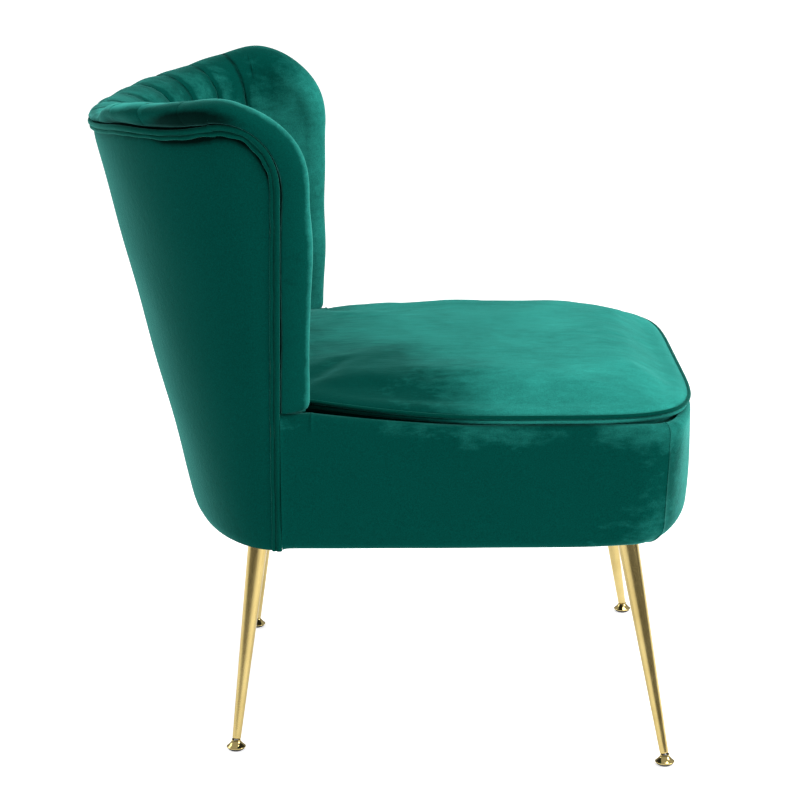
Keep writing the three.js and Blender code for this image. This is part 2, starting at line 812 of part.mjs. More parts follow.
const legPlaces = [
  { name: 'front_right', x: -1, y: -1 },
  { name: 'front_left', x: 1, y: -1 },
  { name: 'rear_right', x: -1, y: 1 },
  { name: 'rear_left', x: 1, y: 1 },
].map(({ name, x, y }) => {
  const front = y < 0;
  const foot = new THREE.Vector3(
    x * (baseHalfWidth - (front ? frontFootSideInset : rearFootSideInset)),
    front ? -(baseFront - frontFootInset) : rearReach - rearFootInset,
    ballHeight,
  );
  const lean = new THREE.Vector3(
    -x * (front ? frontSplayOutShare : rearSplayOutShare),
    -y * (front ? frontSplayForwardShare : rearSplayBackShare),
    1,
  );
  const top = foot.clone().addScaledVector(lean, railBottom - ballHeight);
  return { name, x, y, foot, lean, top };
});

const plateBottom = railBottom;
const plateTop = plateBottom + plateThickness;
const blockBottom = plateTop + gap;

function screwBody(clearance) {
  const headBottom = plateBottom + gap - clearance;
  const headTop = plateBottom + gap + screwHeadHeight + clearance;
  const tip = plateBottom + gap + screwLength + clearance;
  return turned([
    [0, headBottom],
    [screwHeadRadius + clearance, headBottom],
    [screwHeadRadius + clearance, headTop],
    [screwShankRadius + clearance, headTop],
    [screwShankRadius + clearance, tip - screwShankRadius],
    [0, tip],
  ], 7);
}

function screwsOf(leg, clearance) {
  return range(screwCount).map((i) => {
    const angle = quarterTurn * (i + 1 / 2);
    const x = leg.top.x + screwCircleRadius * Math.cos(angle);
    const y = leg.top.y + screwCircleRadius * Math.sin(angle);
    return screwBody(clearance).translate(x, y, 0);
  });
}

// Turns a body that stands on the ball's centre until it runs up the leg
function alongLeg(geometry, leg) {
  const turn = new THREE.Quaternion().setFromUnitVectors(
    new THREE.Vector3(0, 0, 1),
    leg.lean.clone().normalize(),
  );
  return geometry.applyQuaternion(turn).translate(leg.foot.x, leg.foot.y, leg.foot.z);
}

function levelBox(leg, bottom, top) {
  const side = 2 * (plateRadius + baseHalfWidth);
  const height = top - bottom;
  const box = new THREE.BoxGeometry(side, side, height);
  return box.translate(leg.foot.x, leg.foot.y, bottom + height / 2);
}

function makeLeg(leg) {
  const reach = leg.lean.length();
  const length = (plateTop - ballHeight + cutOverrun) * reach;
  const tube = alongLeg(turned([
    [0, 0],
    [legFootRadius, 0],
    [legTopRadius, length],
    [0, length],
  ], 16), leg);
  const plate = turned([
    [0, plateBottom],
    [plateRadius, plateBottom],
    [plateRadius, plateTop],
    [0, plateTop],
  ], 20).translate(leg.top.x, leg.top.y, 0);
  const bore = alongLeg(turned([
    [0, 0],
    [stemBoreRadius, 0],
    [stemBoreRadius, stemLength + stemBoreExtra],
    [0, stemLength + stemBoreExtra + stemBoreRadius],
  ], 12), leg);
  const above = levelBox(leg, plateTop, plateTop + plateRadius);
  const below = levelBox(leg, -plateRadius, legEnd);
  const welded = cutAll(joinAll([tube, plate]), [above, below, bore]);
  addPiece(`leg_${leg.name}`, joinAll([welded, ...screwsOf(leg, 0)]), gold);
}

function makeStem(leg) {
  const ball = shares(5).map((t) => {
    const start = Math.asin(stemRadius / ballRadius);
    const angle = Math.PI - (Math.PI - start) * t;
    return [t === 0 ? 0 : ballRadius * Math.sin(angle), ballRadius * Math.cos(angle)];
  });
  const profile = [...ball, [stemRadius, stemLength - stemRadius / 2], [0, stemLength]];
  addPiece(`glide_stem_${leg.name}`, alongLeg(turned(profile, 10), leg), steel);
}

function makeGlide(leg) {
  const socket = ballRadius + ballClearance;
  const socketFloor = ballHeight - socket;
  const padTop = padHeight - gap;
  const rimBottom = padHeight - padRecess;
  const mouth = glideTopRadius - (glideTopRadius - socket) / 3;
  const cone = turned([
    [0, padTop + gap],
    [padRadius + gap, padTop + gap],
    [padRadius + gap, rimBottom],
    [glideRimRadius, rimBottom],
    [glideRimRadius, rimBottom + glideRimHeight],
    [glideTopRadius, glideTop],
    [mouth, glideTop],
    [socket, ballHeight],
    [socket, socketFloor],
    [0, socketFloor],
  ], 16);
  const pad = turned([[0, 0], [padRadius, 0], [padRadius, padTop], [0, padTop]], 16);
  addPiece(`glide_cone_${leg.name}`, cone.translate(leg.foot.x, leg.foot.y, 0), gold);
  addPiece(`glide_pad_${leg.name}`, pad.translate(leg.foot.x, leg.foot.y, 0), rubber);
}

// Corner blocks: each fills the corner between two rails over its leg's plate, and takes the
// plate's screws
function blockOutline(leg) {
  const nook = new THREE.Vector2(
    Math.abs(leg.top.x) - plateRadius - blockMargin,
    leg.top.y - leg.y * (plateRadius + blockMargin),
  );
  const front = leg.y < 0;
  const corner = front
    ? (run) => baseSide(run, blockBottom, railFar + blockFit)
    : (run) => wall(run, blockBottom, frameFar + blockFit);
  const end = front ? baseSideStart + baseFront : wallLength(blockBottom);
  const from = lastRun(0, end, (run) => corner(run).x < nook.x);
  const to = lastRun(0, end, (run) => leg.y * (corner(run).y - nook.y) > 0);
  const points = shares(8).map((t) => corner(from + (to - from) * t));
  return [...points, nook].map((p) => new THREE.Vector2(leg.x * p.x, p.y));
}

for (const leg of legPlaces) {
  makeLeg(leg);
  makeStem(leg);
  makeGlide(leg);
  const block = levelPlate(blockOutline(leg), blockBottom, blockHeight);
  addPiece(`corner_block_${leg.name}`, cutAll(block, screwsOf(leg, screwClearance)), wood);
}

// Dust cover: a sheet under the rails, with a round hole for each leg

function outlineRound(inset, z, step) {
  const sideEnd = runAtY(wingFrontAt(z));
  const half = [
    ...frontBreaks.map((run) => baseSide(run, z, inset)),
    baseSide(sideEnd, z, inset),
    ...shares(step).map((t) => wall(wallLength(z) * (1 - t), z, inset)).slice(1),
  ];
  const right = half.slice(1, -1).reverse().map((p) => new THREE.Vector2(-p.x, p.y));
  return [...half.map((p) => new THREE.Vector2(p.x, p.y)), ...right];
}

const dustCoverTop = railBottom - gap;
const dustCoverBottom = dustCoverTop - dustCoverThickness;
const legHoleShare = 1.35;        // of the tube's top radius
const legHoles = legPlaces.map((leg) => {
  const hole = new THREE.Path();
  hole.absarc(leg.top.x, leg.top.y, legHoleShare * legTopRadius, 0, 2 * Math.PI, true);
  return hole;
});
const dustOutline = outlineRound(dustCoverInset, dustCoverBottom, 7);
addPiece('dust_cover', levelPlate(dustOutline, dustCoverBottom, dustCoverThickness, legHoles), blackCloth);

// Seat springs: zigzag wires from the front rail to a straight rear one, held by clips

// The straight rail that takes the springs' rear ends, on the rear corner blocks
const seatRailBottom = blockBottom + blockHeight + gap;
const seatRailEnd = seatRailPlace + railThickness;
const seatRailRun = lastRun(0, wallLength(seatRailBottom), (run) => (
  wall(run, seatRailBottom, frameFar + gap).y > seatRailEnd
));
const seatRailHalf = wall(seatRailRun, seatRailBottom, frameFar).x - 2 * blockFit;
const seatRailWidth = 2 * seatRailHalf;
const seatRailHeight = railTop - seatRailBottom;
addPiece('spring_rail', new THREE.BoxGeometry(seatRailWidth, railThickness, seatRailHeight)
  .translate(0, seatRailPlace + railThickness / 2, seatRailBottom + seatRailHeight / 2), wood);

const springFront = -(baseFront - railNear - railThickness / 2);
const springBends = Math.floor((seatRailPlace - springFront) / zigzagPitch);

function makeSpring(x) {
  const rear = seatRailPlace + railThickness / 2;
  const start = springFront + (x / baseHalfWidth) ** 2 * panelThickness;
  const pitch = (rear - start) / springBends;
  const path = [new THREE.Vector3(x - zigzagHalfWidth, start, springSeat)];
  for (const k of range(springBends)) {
    const side = k % 2 === 0 ? 1 : -1;
    for (const t of shares(springBendSteps)) {
      const turn = Math.PI * (t - 1 / 2);
      const across = x + side * (zigzagHalfWidth - pitch / 2 + (pitch / 2) * Math.cos(turn));
      const y = start + pitch * (k + 1 / 2) + (pitch / 2) * Math.sin(turn);
      const rise = zigzagRise * Math.sin(Math.PI * (y - start) / (rear - start));
      path.push(new THREE.Vector3(across, y, springSeat + rise));
    }
  }
  const lastSide = springBends % 2 === 0 ? 1 : -1;
  path.push(new THREE.Vector3(x + lastSide * zigzagHalfWidth, rear, springSeat));
  const rings = path.map((p, i) => {
    const before = path[Math.max(i - 1, 0)];
    const after = path[Math.min(i + 1, path.length - 1)];
    const along = after.clone().sub(before).setZ(0).normalize();
    const acrossWire = new THREE.Vector3(along.y, -along.x, 0);
    return range(4).map((k) => p.clone()
      .addScaledVector(acrossWire, wireRadius * Math.cos(quarterTurn * k))
      .add(new THREE.Vector3(0, 0, wireRadius * Math.sin(quarterTurn * k))));
  });
  return { wire: ringBody(rings, path[0], path.at(-1)), start, rear };
}

// A clip: a curl of strip steel round the end of a wire. Its turn is in half turns.
const clipGripShare = 0.7;
const clipStartShare = 0.1;
const clipTurnShare = 1.3;

function clipAt(x, y) {
  const outer = wireRadius + clipWall;
  const inner = clipGripShare * wireRadius;
  const turn = shares(6).map((t) => Math.PI * (clipStartShare + clipTurnShare * t));
  const ring = (radius) => turn.map((a) => new THREE.Vector2(radius * Math.cos(a), radius * Math.sin(a)));
  const shape = new THREE.Shape([...ring(outer), ...ring(inner).reverse()]);
  const body = new THREE.ExtrudeGeometry(shape, { depth: clipLength, bevelEnabled: false });
  return body.translate(0, 0, -clipLength / 2).rotateX(quarterTurn).rotateZ(quarterTurn)
    .translate(x, y, springSeat);
}

// The spring unit: the wires, a clip at each end and the tie wires that keep them apart
function makeSprings() {
  const spacing = springSpreadShare * baseHalfWidth;
  const xs = range(springCount).map((i) => spacing * (i - (springCount - 1) / 2));
  const wires = xs.map((x) => ({ x, ...makeSpring(x) }));
  const clips = wires.flatMap((w) => [clipAt(w.x, w.start), clipAt(w.x, w.rear)]);
  const reach = (springCount - 1) * spacing + 2 * zigzagHalfWidth;
  const length = wires[0].rear - wires[0].start;
  const ties = tieShares.map((share) => {
    const tie = new THREE.BoxGeometry(reach, wireRadius, wireRadius);
    return tie.translate(0, wires[0].start + length * share, springSeat + zigzagRise / 2);
  });
  addPiece('seat_springs', joinAll([...wires.map((w) => w.wire), ...clips, ...ties]), steel);
}

makeSprings();

// Deck pad over the springs

const deckOutline = (() => {
  const front = outlineRound(railNear, railTop, 7).filter((p) => p.y < wingFront);
  const behind = shares(8).map((t) => {
    const reach = wallLength(railTop) - frameInset;
    return wall(reach * (1 - 2 * t), railTop, bandFar + gap);
  });
  const left = front.filter((p) => p.x >= 0).sort((p, q) => p.y - q.y);
  const right = front.filter((p) => p.x < 0).sort((p, q) => q.y - p.y);
  const rear = behind.map((p) => new THREE.Vector2(p.x, p.y));
  return [...left, ...rear, ...right];
})();
addPiece('deck_pad', levelPlate(deckOutline, deckBottom, deckThickness), felt);

// Base panels: padded cloth over the rails, rounded at the top and bottom edges

function baseTopAt(y) {
  return baseTop + baseSweep * ease(1 - (wingFront - y) / baseSweepLength);
}

function makeBasePanel(name, runs) {
  const skin = [];
  const under = [];
  for (const run of runs) {
    const outside = baseSide(run, 0, 0);
    const top = baseTopAt(outside.y);
    const r = panelRounding;
    const soft = 1 - Math.SQRT1_2;
    const line = [
      [baseBottom, r],
      [baseBottom + r * soft, r * soft],
      [baseBottom + r, 0],
      [(baseBottom + top) / 2, 0],
      [railTop + gap, 0],
      [top - r, 0],
      [top - r * soft, r * soft],
      [top, r],
    ];
    skin.push(line.map(([z, depth]) => {
      const share = (z - baseBottom) / (top - baseBottom);
      return baseSide(run, z, depth).lerp(baseTopSide(run, z, depth), share);
    }));
    under.push(line.map(([z]) => {
      const place = z > railTop + gap ? baseTopSide : baseSide;
      return place(run, z, panelThickness);
    }));
  }
  addPiece(name, panelBody(skin, under), velvet);
}

const seamRun = runAtY(-(baseFront - baseSeamSetBack));
const weltNear = weltInset - 2 * weltCordRadius - gap;
const sideEndRun = runAtY(wingFrontAt(baseTop) + weltNear);
const frontPanelEnd = seamRun - gap / 2;
const frontPanelHalf = [...frontBreaks.filter((run) => run < frontPanelEnd), frontPanelEnd];
makeBasePanel('base_front_panel', bothSides(frontPanelHalf));
for (const [side, name] of [[-1, 'base_side_panel_right'], [1, 'base_side_panel_left']]) {
  const turn = [seamRun + gap / 2, ...frontBreaks.filter((run) => run > seamRun + gap / 2)];
  const straightStart = runAtY(wingFront - baseSweepLength);
  const sweep = shares(5).map((t) => straightStart + (sideEndRun - straightStart) * t);
  makeBasePanel(name, [...turn, ...sweep].map((run) => side * run));
}

// Seat cushion: rounded square at the front, drawn in between the wings, following the channels

const taperPower = 1.7;
const rearRiseShare = 0.94;       // of the way down the padding at which the cushion meets it

const cushionOutline = (() => {
  const widest = baseFront - cushionFrontDepth;
  const rearZ = cushionPipingHeight;
  const insideWing = wall(wallLength(rearZ), rearZ, 2 * rollRadius + gap);
  const frontHalf = roundedQuarter(cushionHalfWidth, -cushionFrontDepth, cushionPower, 9)
    .map((p) => new THREE.Vector2(p.x, p.y - widest));
  const taper = shares(4).slice(1).map((t) => {
    const inward = (cushionHalfWidth - insideWing.x) * t ** taperPower;
    const y = -widest + (wingFront + widest) * t;
    return new THREE.Vector2(cushionHalfWidth - inward, y);
  });
  const rearHalf = shares(7).slice(1).map((t) => {
    const run = wallLength(rearZ) * (1 - t);
    const along = wingFootAt * (1 - t);
    const depth = innerDepth(along, rearRiseShare) + channelCrown * ease(3 * t) + cushionBackGap;
    const p = wall(run, rearZ, depth);
    return new THREE.Vector2(p.x, p.y);
  });
  const half = [...frontHalf, ...taper, ...rearHalf];
  const other = half.slice(1, -1).reverse().map((p) => new THREE.Vector2(-p.x, p.y));
  return [...half, ...other];
})();

const crownPower = 3.2;
const crownFall = 0.7;
const crownAt = (share) => (1 - share ** crownPower) ** crownFall;
const cushionMiddle = new THREE.Vector2(0, -(baseFront - rearReach) / 2);

function cushionRing(scale, inset, height) {
  return cushionOutline.map((p) => {
    const out = p.clone().sub(cushionMiddle);
    const reach = out.length();
    out.setLength(reach * scale - inset);
    const lift = baseTopAt(p.y) - baseTop;
    return new THREE.Vector3(cushionMiddle.x + out.x, cushionMiddle.y + out.y, height + lift * scale ** 4);
  });
}

function makeCushion() {
  const topShares = [0.95, 0.85, 0.7, 0.45, 0.2];
  const pipingGroove = 2 * (pipingRadius + 2 * gap);
  const borderFoot = baseTop + cushionClearance;
  const rings = [
    cushionRing(1, cushionFootInset, deckTop + gap),
    cushionRing(1, cushionFootInset - cushionDrawIn / 2, borderFoot),
    cushionRing(1, cushionDrawIn, borderFoot),
    cushionRing(1, cushionDrawIn / 2, cushionPipingHeight - pipingRadius - gap),
    cushionRing(1, pipingGroove, cushionPipingHeight - pipingRadius - gap),
    cushionRing(1, pipingGroove, cushionPipingHeight + pipingRadius),
    ...topShares.map((share) => (
      cushionRing(share, pipingRadius, cushionPipingHeight + cushionCrown * crownAt(share))
    )),
  ];
  const floor = new THREE.Vector3(cushionMiddle.x, cushionMiddle.y, deckTop + gap);
  const peak = new THREE.Vector3(cushionMiddle.x, cushionMiddle.y, cushionPipingHeight + cushionCrown);
  addPiece('seat_cushion', ringBody(rings, floor, peak), velvet);
}

makeCushion();

// Piping: a round cord sewn along the cushion's widest line
const pipingRings = cushionRing(1, pipingRadius, cushionPipingHeight).map((centre, i, line) => {
  const before = line.at(i - 1);
  const after = line[(i + 1) % line.length];
  const along = after.clone().sub(before).setZ(0).normalize();
  const outward = new THREE.Vector3(along.y, -along.x, 0);
  return range(6).map((k) => {
    const angle = 2 * Math.PI * k / 6;
    return centre.clone()
      .addScaledVector(outward, pipingRadius * Math.cos(angle))
      .add(new THREE.Vector3(0, 0, pipingRadius * Math.sin(angle)));
  });
});
addPiece('cushion_piping', loopBody(pipingRings), velvetTrim);

export default chair;
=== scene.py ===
# %% [markdown]
# A scallop back lounge chair. Its velvet back is sewn into channels that fan out upward, roll
# over the top edge and end in two plain wings round the seat. This lesson makes each soft
# piece as a surface worked out with numpy, in the frame that the engineering model gives.

# %% Load the frame
import json
import math
import bpy
import numpy as np
from mathutils import Matrix, Quaternion, Vector


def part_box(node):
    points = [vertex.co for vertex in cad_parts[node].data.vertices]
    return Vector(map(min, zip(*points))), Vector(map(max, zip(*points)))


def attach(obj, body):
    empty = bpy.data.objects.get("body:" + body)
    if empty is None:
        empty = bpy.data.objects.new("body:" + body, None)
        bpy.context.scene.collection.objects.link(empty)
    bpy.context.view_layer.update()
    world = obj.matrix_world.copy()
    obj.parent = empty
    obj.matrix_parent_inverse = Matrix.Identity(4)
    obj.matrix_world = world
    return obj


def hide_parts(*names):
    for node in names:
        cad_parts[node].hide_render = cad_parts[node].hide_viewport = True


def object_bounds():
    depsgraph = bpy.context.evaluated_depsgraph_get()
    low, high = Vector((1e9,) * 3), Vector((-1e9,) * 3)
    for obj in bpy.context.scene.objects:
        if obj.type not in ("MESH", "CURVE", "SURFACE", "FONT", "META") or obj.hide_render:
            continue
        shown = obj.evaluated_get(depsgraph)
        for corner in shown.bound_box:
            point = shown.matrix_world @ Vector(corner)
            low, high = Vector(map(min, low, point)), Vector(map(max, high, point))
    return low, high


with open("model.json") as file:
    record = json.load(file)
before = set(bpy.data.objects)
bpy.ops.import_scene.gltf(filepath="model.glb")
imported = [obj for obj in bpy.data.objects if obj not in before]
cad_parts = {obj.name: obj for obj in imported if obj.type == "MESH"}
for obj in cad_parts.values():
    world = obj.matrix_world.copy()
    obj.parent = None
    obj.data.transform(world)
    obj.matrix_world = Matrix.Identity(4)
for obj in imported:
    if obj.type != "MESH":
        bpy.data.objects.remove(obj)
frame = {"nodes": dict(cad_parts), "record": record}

cad_low, cad_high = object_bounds()
cad_size = [round(v, 3) for v in cad_high - cad_low]
print("frame", len(frame["nodes"]), "nodes, size", cad_size)

# %% [markdown]
# All sizes are in metres. The few that drive the rest are read from the frame's nodes, so the
# soft surfaces land on the solids they stand for. The chair faces -Y and is symmetric about
# X = 0.

# %% Sizes
mm = 0.001
_, side_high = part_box("base_side_panel_left")
front_low, front_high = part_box("base_front_panel")
cushion_low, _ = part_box("seat_cushion")
channel_low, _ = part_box("back_channel_6")
half_width = side_high.x
base_bottom = front_low.z
base_top = front_high.z
base_sweep = side_high.z - front_high.z
base_front = -front_low.y
back_height = 725 * mm
wing_height = 762 * mm
padding_foot = channel_low.z
for part, value in (("half width", half_width), ("bottom", base_bottom), ("top", base_top),
                    ("sweep", base_sweep), ("front", base_front)):
    print("base", part, round(value / mm, 1), "mm")

# %% [markdown]
# Every new piece is a grid of points made into a mesh. A real cover has a thickness, so a
# closed panel is two grids of the same size, skin and lining, joined round their four borders.
# A tube is a row of rings. Both could be made with Blender's modifiers, but whole arrays keep
# each point's place exact, and leave no hole.

# %% Mesh helpers
def mesh_object(name, points, faces, smooth_angle=50):
    """An object at the origin from an array of points and a list of face index arrays."""
    mesh = bpy.data.meshes.new(name)
    points = np.asarray(points, float).reshape(-1, 3).tolist()
    mesh.from_pydata(points, [], [f for a in faces for f in a.tolist()])
    mesh.validate()
    mesh.update()
    mesh.polygons.foreach_set("use_smooth", np.ones(len(mesh.polygons), bool))
    mesh.set_sharp_from_angle(angle=math.radians(smooth_angle))
    made = bpy.data.objects.new(name, mesh)
    bpy.context.scene.collection.objects.link(made)
    return made


def grid_faces(rows, columns, start=0, close_rows=False, close_columns=False):
    """The quads of a grid of points, numbered row by row."""
    i = np.arange(rows if close_rows else rows - 1)
    j = np.arange(columns if close_columns else columns - 1)
    i, j = np.meshgrid(i, j, indexing="ij")
    this, below, beside = i * columns, (i + 1) % rows * columns, (j + 1) % columns
    quads = np.stack([this + j, below + j, below + beside, this + beside], -1)
    return quads.reshape(-1, 4) + start


def panel_faces(rows, columns):
    """Skin, lining and the four walls between them, for two grids of one size."""
    count = rows * columns
    index = np.arange(count).reshape(rows, columns)
    rim = np.concatenate([index[0, :-1], index[:-1, -1], index[-1, :0:-1], index[:0:-1, 0]])
    after = np.roll(rim, -1)
    walls = np.stack([rim, after, after + count, rim + count], -1)
    return [grid_faces(rows, columns)[:, ::-1], grid_faces(rows, columns, count), walls[:, ::-1]]


def signed_volume(points, faces):
    """Six times a mesh's volume, below zero when its faces point inward."""
    total = 0.0
    for quads in faces:
        a, b, c = points[quads[:, 0]], points[quads[:, 1]], points[quads[:, 2]]
        total += np.einsum("ij,ij->", a, np.cross(b, c))
        if quads.shape[1] == 4:
            d = points[quads[:, 3]]
            total += np.einsum("ij,ij->", a, np.cross(c, d))
    return total


def outward(points, faces):
    """The faces, turned round if they point inward."""
    return [f[:, ::-1] for f in faces] if signed_volume(points, faces) < 0 else faces


def closed_panel(name, skin, lining):
    """A panel between two grids of points, its faces turned outward."""
    rows, columns = skin.shape[:2]
    points = np.concatenate([skin.reshape(-1, 3), lining.reshape(-1, 3)])
    return mesh_object(name, points, outward(points, panel_faces(rows, columns)))


def closed_tube(name, rings, loop=False):
    """Rings of points joined one after another, into a loop or with a fan of triangles at each
    end."""
    count, sides = rings.shape[:2]
    points = rings.reshape(-1, 3)
    faces = [grid_faces(count, sides, close_rows=loop, close_columns=True)]
    if not loop:
        ends = np.stack([rings[0].mean(0), rings[-1].mean(0)])
        points = np.concatenate([points, ends])
        j = np.arange(sides)
        near = np.stack([j, (j + 1) % sides, np.full(sides, len(points) - 2)], -1)
        last = (count - 1) * sides
        far = np.stack([last + (j + 1) % sides, last + j, np.full(sides, len(points) - 1)], -1)
        faces += [near, far]
    return mesh_object(name, points, outward(points, faces))


def vertices_of(mesh):
    """A mesh's vertices as an array of points."""
    points = np.zeros(3 * len(mesh.vertices))
    mesh.vertices.foreach_get("co", points)
    return points.reshape(-1, 3)


# %% [markdown]
# Cloth over stuffing has no sharp changes of form, so one smooth step, `3t² - 2t³`, blends all
# that changes along a piece. Its unevenness is a sum of sines in random directions: it has no
# tiles and no seams, and a seed makes it the same in each run.

# %% Soft steps and waves
def ease(share):
    """A smooth step: 0 below 0, 1 above 1, level at both ends."""
    t = np.clip(share, 0, 1)
    return t * t * (3 - 2 * t)


def arch(count, power):
    """0 at both ends of a row of columns and 1 in its middle: a power of a sine."""
    return np.sin(np.linspace(0, math.pi, count)) ** power


def waves(points, length, seed, count=7):
    """Soft random waves in space, about -1 to 1: a sum of sines along random directions."""
    pick = np.random.default_rng(seed)
    directions = pick.normal(size=(count, 3))
    directions /= np.linalg.norm(directions, axis=1)[:, None]
    lengths = length * pick.uniform(0.7, 1.5, count)
    phases = pick.uniform(0, 2 * np.pi, count)
    turns = points @ directions.T * (2 * np.pi / lengths) + phases
    return np.sin(turns).sum(-1) / math.sqrt(count)


print("smooth step at a quarter:", float(ease(0.25)))

# %% [markdown]
# The outside of the back is a wall. Seen from above it is a superellipse round the rear that
# runs out into a straight side, and it leans back and flares as it rises. A point on it is
# given by its run from the middle of the rear, its height, and a depth inward from it. The run
# is a true length, so a table from length to angle is made once for a ladder of heights. A
# loft through curves could make it too. A formula was chosen, because each later piece can ask
# it for any point on the wall.

# %% Back wall
wall_power = 1.9
rear_reach = 237.5 * mm
rear_lean = math.radians(13.9)
wing_front = 87 * mm
corner_set_back = 37.5 * mm
corner_drift = 30 * mm
wing_flare = 14 * mm
wing_lean = 5 * mm
corner_radius = 97 * mm
corner_tilt = math.radians(10)
wing_foot = base_top + base_sweep
corner_centre = wing_height - corner_radius


def wall_form(z):
    """Half width, end of the straight side, depth of the curve and front edge, at a height."""
    rise = z - base_bottom
    side_end = wing_front + corner_set_back + corner_drift * rise / (wing_height - base_bottom)
    rear = rear_reach + math.tan(rear_lean) * rise
    above_base = np.maximum(z - base_top, 0) / (wing_height - base_top)
    width = half_width + wing_flare * above_base ** 1.5
    front = wing_front - wing_lean * np.clip((z - wing_foot) / (corner_centre - wing_foot), 0, 1)
    return width, side_end, rear - side_end, front


ladder = np.linspace(base_bottom - 20 * mm, wing_height + 20 * mm, 180)
turn = np.linspace(0, math.pi / 2, 1200)
form_width, _, form_depth, _ = wall_form(ladder)
curve_x = form_width[:, None] * np.sin(turn) ** (2 / wall_power)
curve_y = form_depth[:, None] * np.cos(turn).clip(0) ** (2 / wall_power)
steps = np.hypot(np.diff(curve_x, axis=1), np.diff(curve_y, axis=1))
lengths = np.concatenate([np.zeros((len(ladder), 1)), steps.cumsum(1)], 1)
curve_length = lengths[:, -1]
even = np.linspace(0, 1, 900)
turn_table = np.stack([np.interp(even * row[-1], row, turn) for row in lengths])
print("half the wall's curve grows from", round(curve_length[0] / mm), "mm")
print("at the foot to", round(curve_length[-1] / mm), "mm at the top")


def wall_length(z):
    """Length of half the wall at a height, from the middle of the rear to its front edge."""
    _, side_end, _, front = wall_form(z)
    return np.interp(z, ladder, curve_length) + side_end - front


def wall(run, z, depth):
    """Points of the wall: the superellipse point at that run, x = width sin(turn)^(2/power)
    and y = depth cos(turn)^(2/power), set in along its own normal."""
    run, z, depth = np.broadcast_arrays(run, z, depth)
    width, side_end, deep, _ = wall_form(z)
    reach = np.interp(z, ladder, curve_length)
    share = np.clip(np.abs(run) / reach, 0, 1) * (len(even) - 1)
    level = np.clip((z - ladder[0]) / (ladder[1] - ladder[0]), 0, len(ladder) - 1.001)
    i, j = level.astype(int), np.minimum(share.astype(int), len(even) - 2)
    a, b = level - i, share - j
    angle = (
        (1 - a) * ((1 - b) * turn_table[i, j] + b * turn_table[i, j + 1])
        + a * ((1 - b) * turn_table[i + 1, j] + b * turn_table[i + 1, j + 1])
    )
    sine, cosine = np.sin(angle), np.cos(angle).clip(0)
    x = width * sine ** (2 / wall_power)
    y = side_end + deep * cosine ** (2 / wall_power) - np.maximum(np.abs(run) - reach, 0)
    bend = 2 * (wall_power - 1) / wall_power
    normal_x, normal_y = sine ** bend / width, cosine ** bend / deep
    size = np.hypot(normal_x, normal_y)
    x = x - depth * normal_x / size
    y = y - depth * normal_y / size
    return np.stack([np.sign(run) * x, y, z], -1)


# %% [markdown]
# The edge of the back is drawn on the wall as if it were laid flat: a low curve along the top,
# a quarter turn round the wing's upper corner, and a straight front. A place near it is given
# by its length along the edge and its inset from it, as an upholsterer measures it with a
# tape, so seams and cords keep their distance from it round the corner.

# %% Edge of the back
corner_turn = math.pi / 2 + corner_tilt
corner_top_height = corner_centre + corner_radius * math.cos(corner_tilt)
corner_top_run = float(wall_length(wing_height)) - corner_radius * (1 + math.sin(corner_tilt))
top_rise = corner_top_height - back_height
top_power = math.tan(corner_tilt) * corner_top_run / top_rise
corner_end = corner_top_run + corner_radius * corner_turn
foot_at = corner_end + corner_centre - wing_foot


def edge(along, inset):
    """Run and height of a place: along the top, round the corner, or down the front."""
    along, inset = np.broadcast_arrays(along, inset)
    side, a = np.where(along < 0, -1.0, 1.0), np.abs(along)
    share = np.minimum(a, corner_top_run) / corner_top_run
    slope = top_power * top_rise / corner_top_run * share ** (top_power - 1)
    scale = inset / np.hypot(1, slope)
    top_run = a + slope * scale
    top_z = back_height + top_rise * share ** top_power - scale
    angle = corner_turn - (np.clip(a, corner_top_run, corner_end) - corner_top_run) / corner_radius
    corner_z = corner_centre + (corner_radius - inset) * np.sin(angle)
    corner_run = wall_length(corner_z) - corner_radius + (corner_radius - inset) * np.cos(angle)
    front_z = corner_centre - (a - corner_end)
    front_run = wall_length(front_z) - inset
    run = np.where(a <= corner_top_run, top_run, np.where(a <= corner_end, corner_run, front_run))
    z = np.where(a <= corner_top_run, top_z, np.where(a <= corner_end, corner_z, front_z))
    return side * run, z


def on_wall(along, inset, depth):
    """Points near the edge of the back, by length along it, inset and depth."""
    run, z = edge(along, inset)
    return wall(run, z, depth)


print("along the edge to the corner:", round(corner_top_run / mm), "mm")
print("along the edge to the wing's foot:", round(foot_at / mm), "mm")

# %% [markdown]
# The padding is one skin that starts under the welt, rolls over the edge and runs down the
# inner face. Its section is an ellipse over the edge, slim along the top and broad at the
# wings. On the inner face each thread of the skin bends from square across the edge toward its
# own place at the foot, which makes the channels fan out. Between two seams the skin swells.
# A cloth simulation could give it soft folds. None was tried here: the time went into the fit
# to the photograph.

# %% Where the padding lies
roll_radius = 20 * mm
tuck_turn = math.radians(48)
roll_reach_rear = 8 * mm
roll_reach_corner = 11.5 * mm
roll_reach_wing = 30 * mm
shoulder_depth = 18 * mm
shoulder_drop = 14 * mm
channels_per_side = 5
channels_end = 0.913 * corner_top_run
middle_wider = 1.085
channel_width = channels_end / (channels_per_side + middle_wider / 2)
middle_width = middle_wider * channel_width
channel_crown = 11 * mm
edge_crown = 0.9 * mm
lumbar = 4 * mm
fan_root = 0.66
wing_root = 0.8
lining_depth = 33 * mm
seam_gap = 0.5 * mm
upper_cord = 3.2 * mm
lower_cord = 2.2 * mm
welt_gap = 0.3 * mm
welt_drop = 2.4 * mm


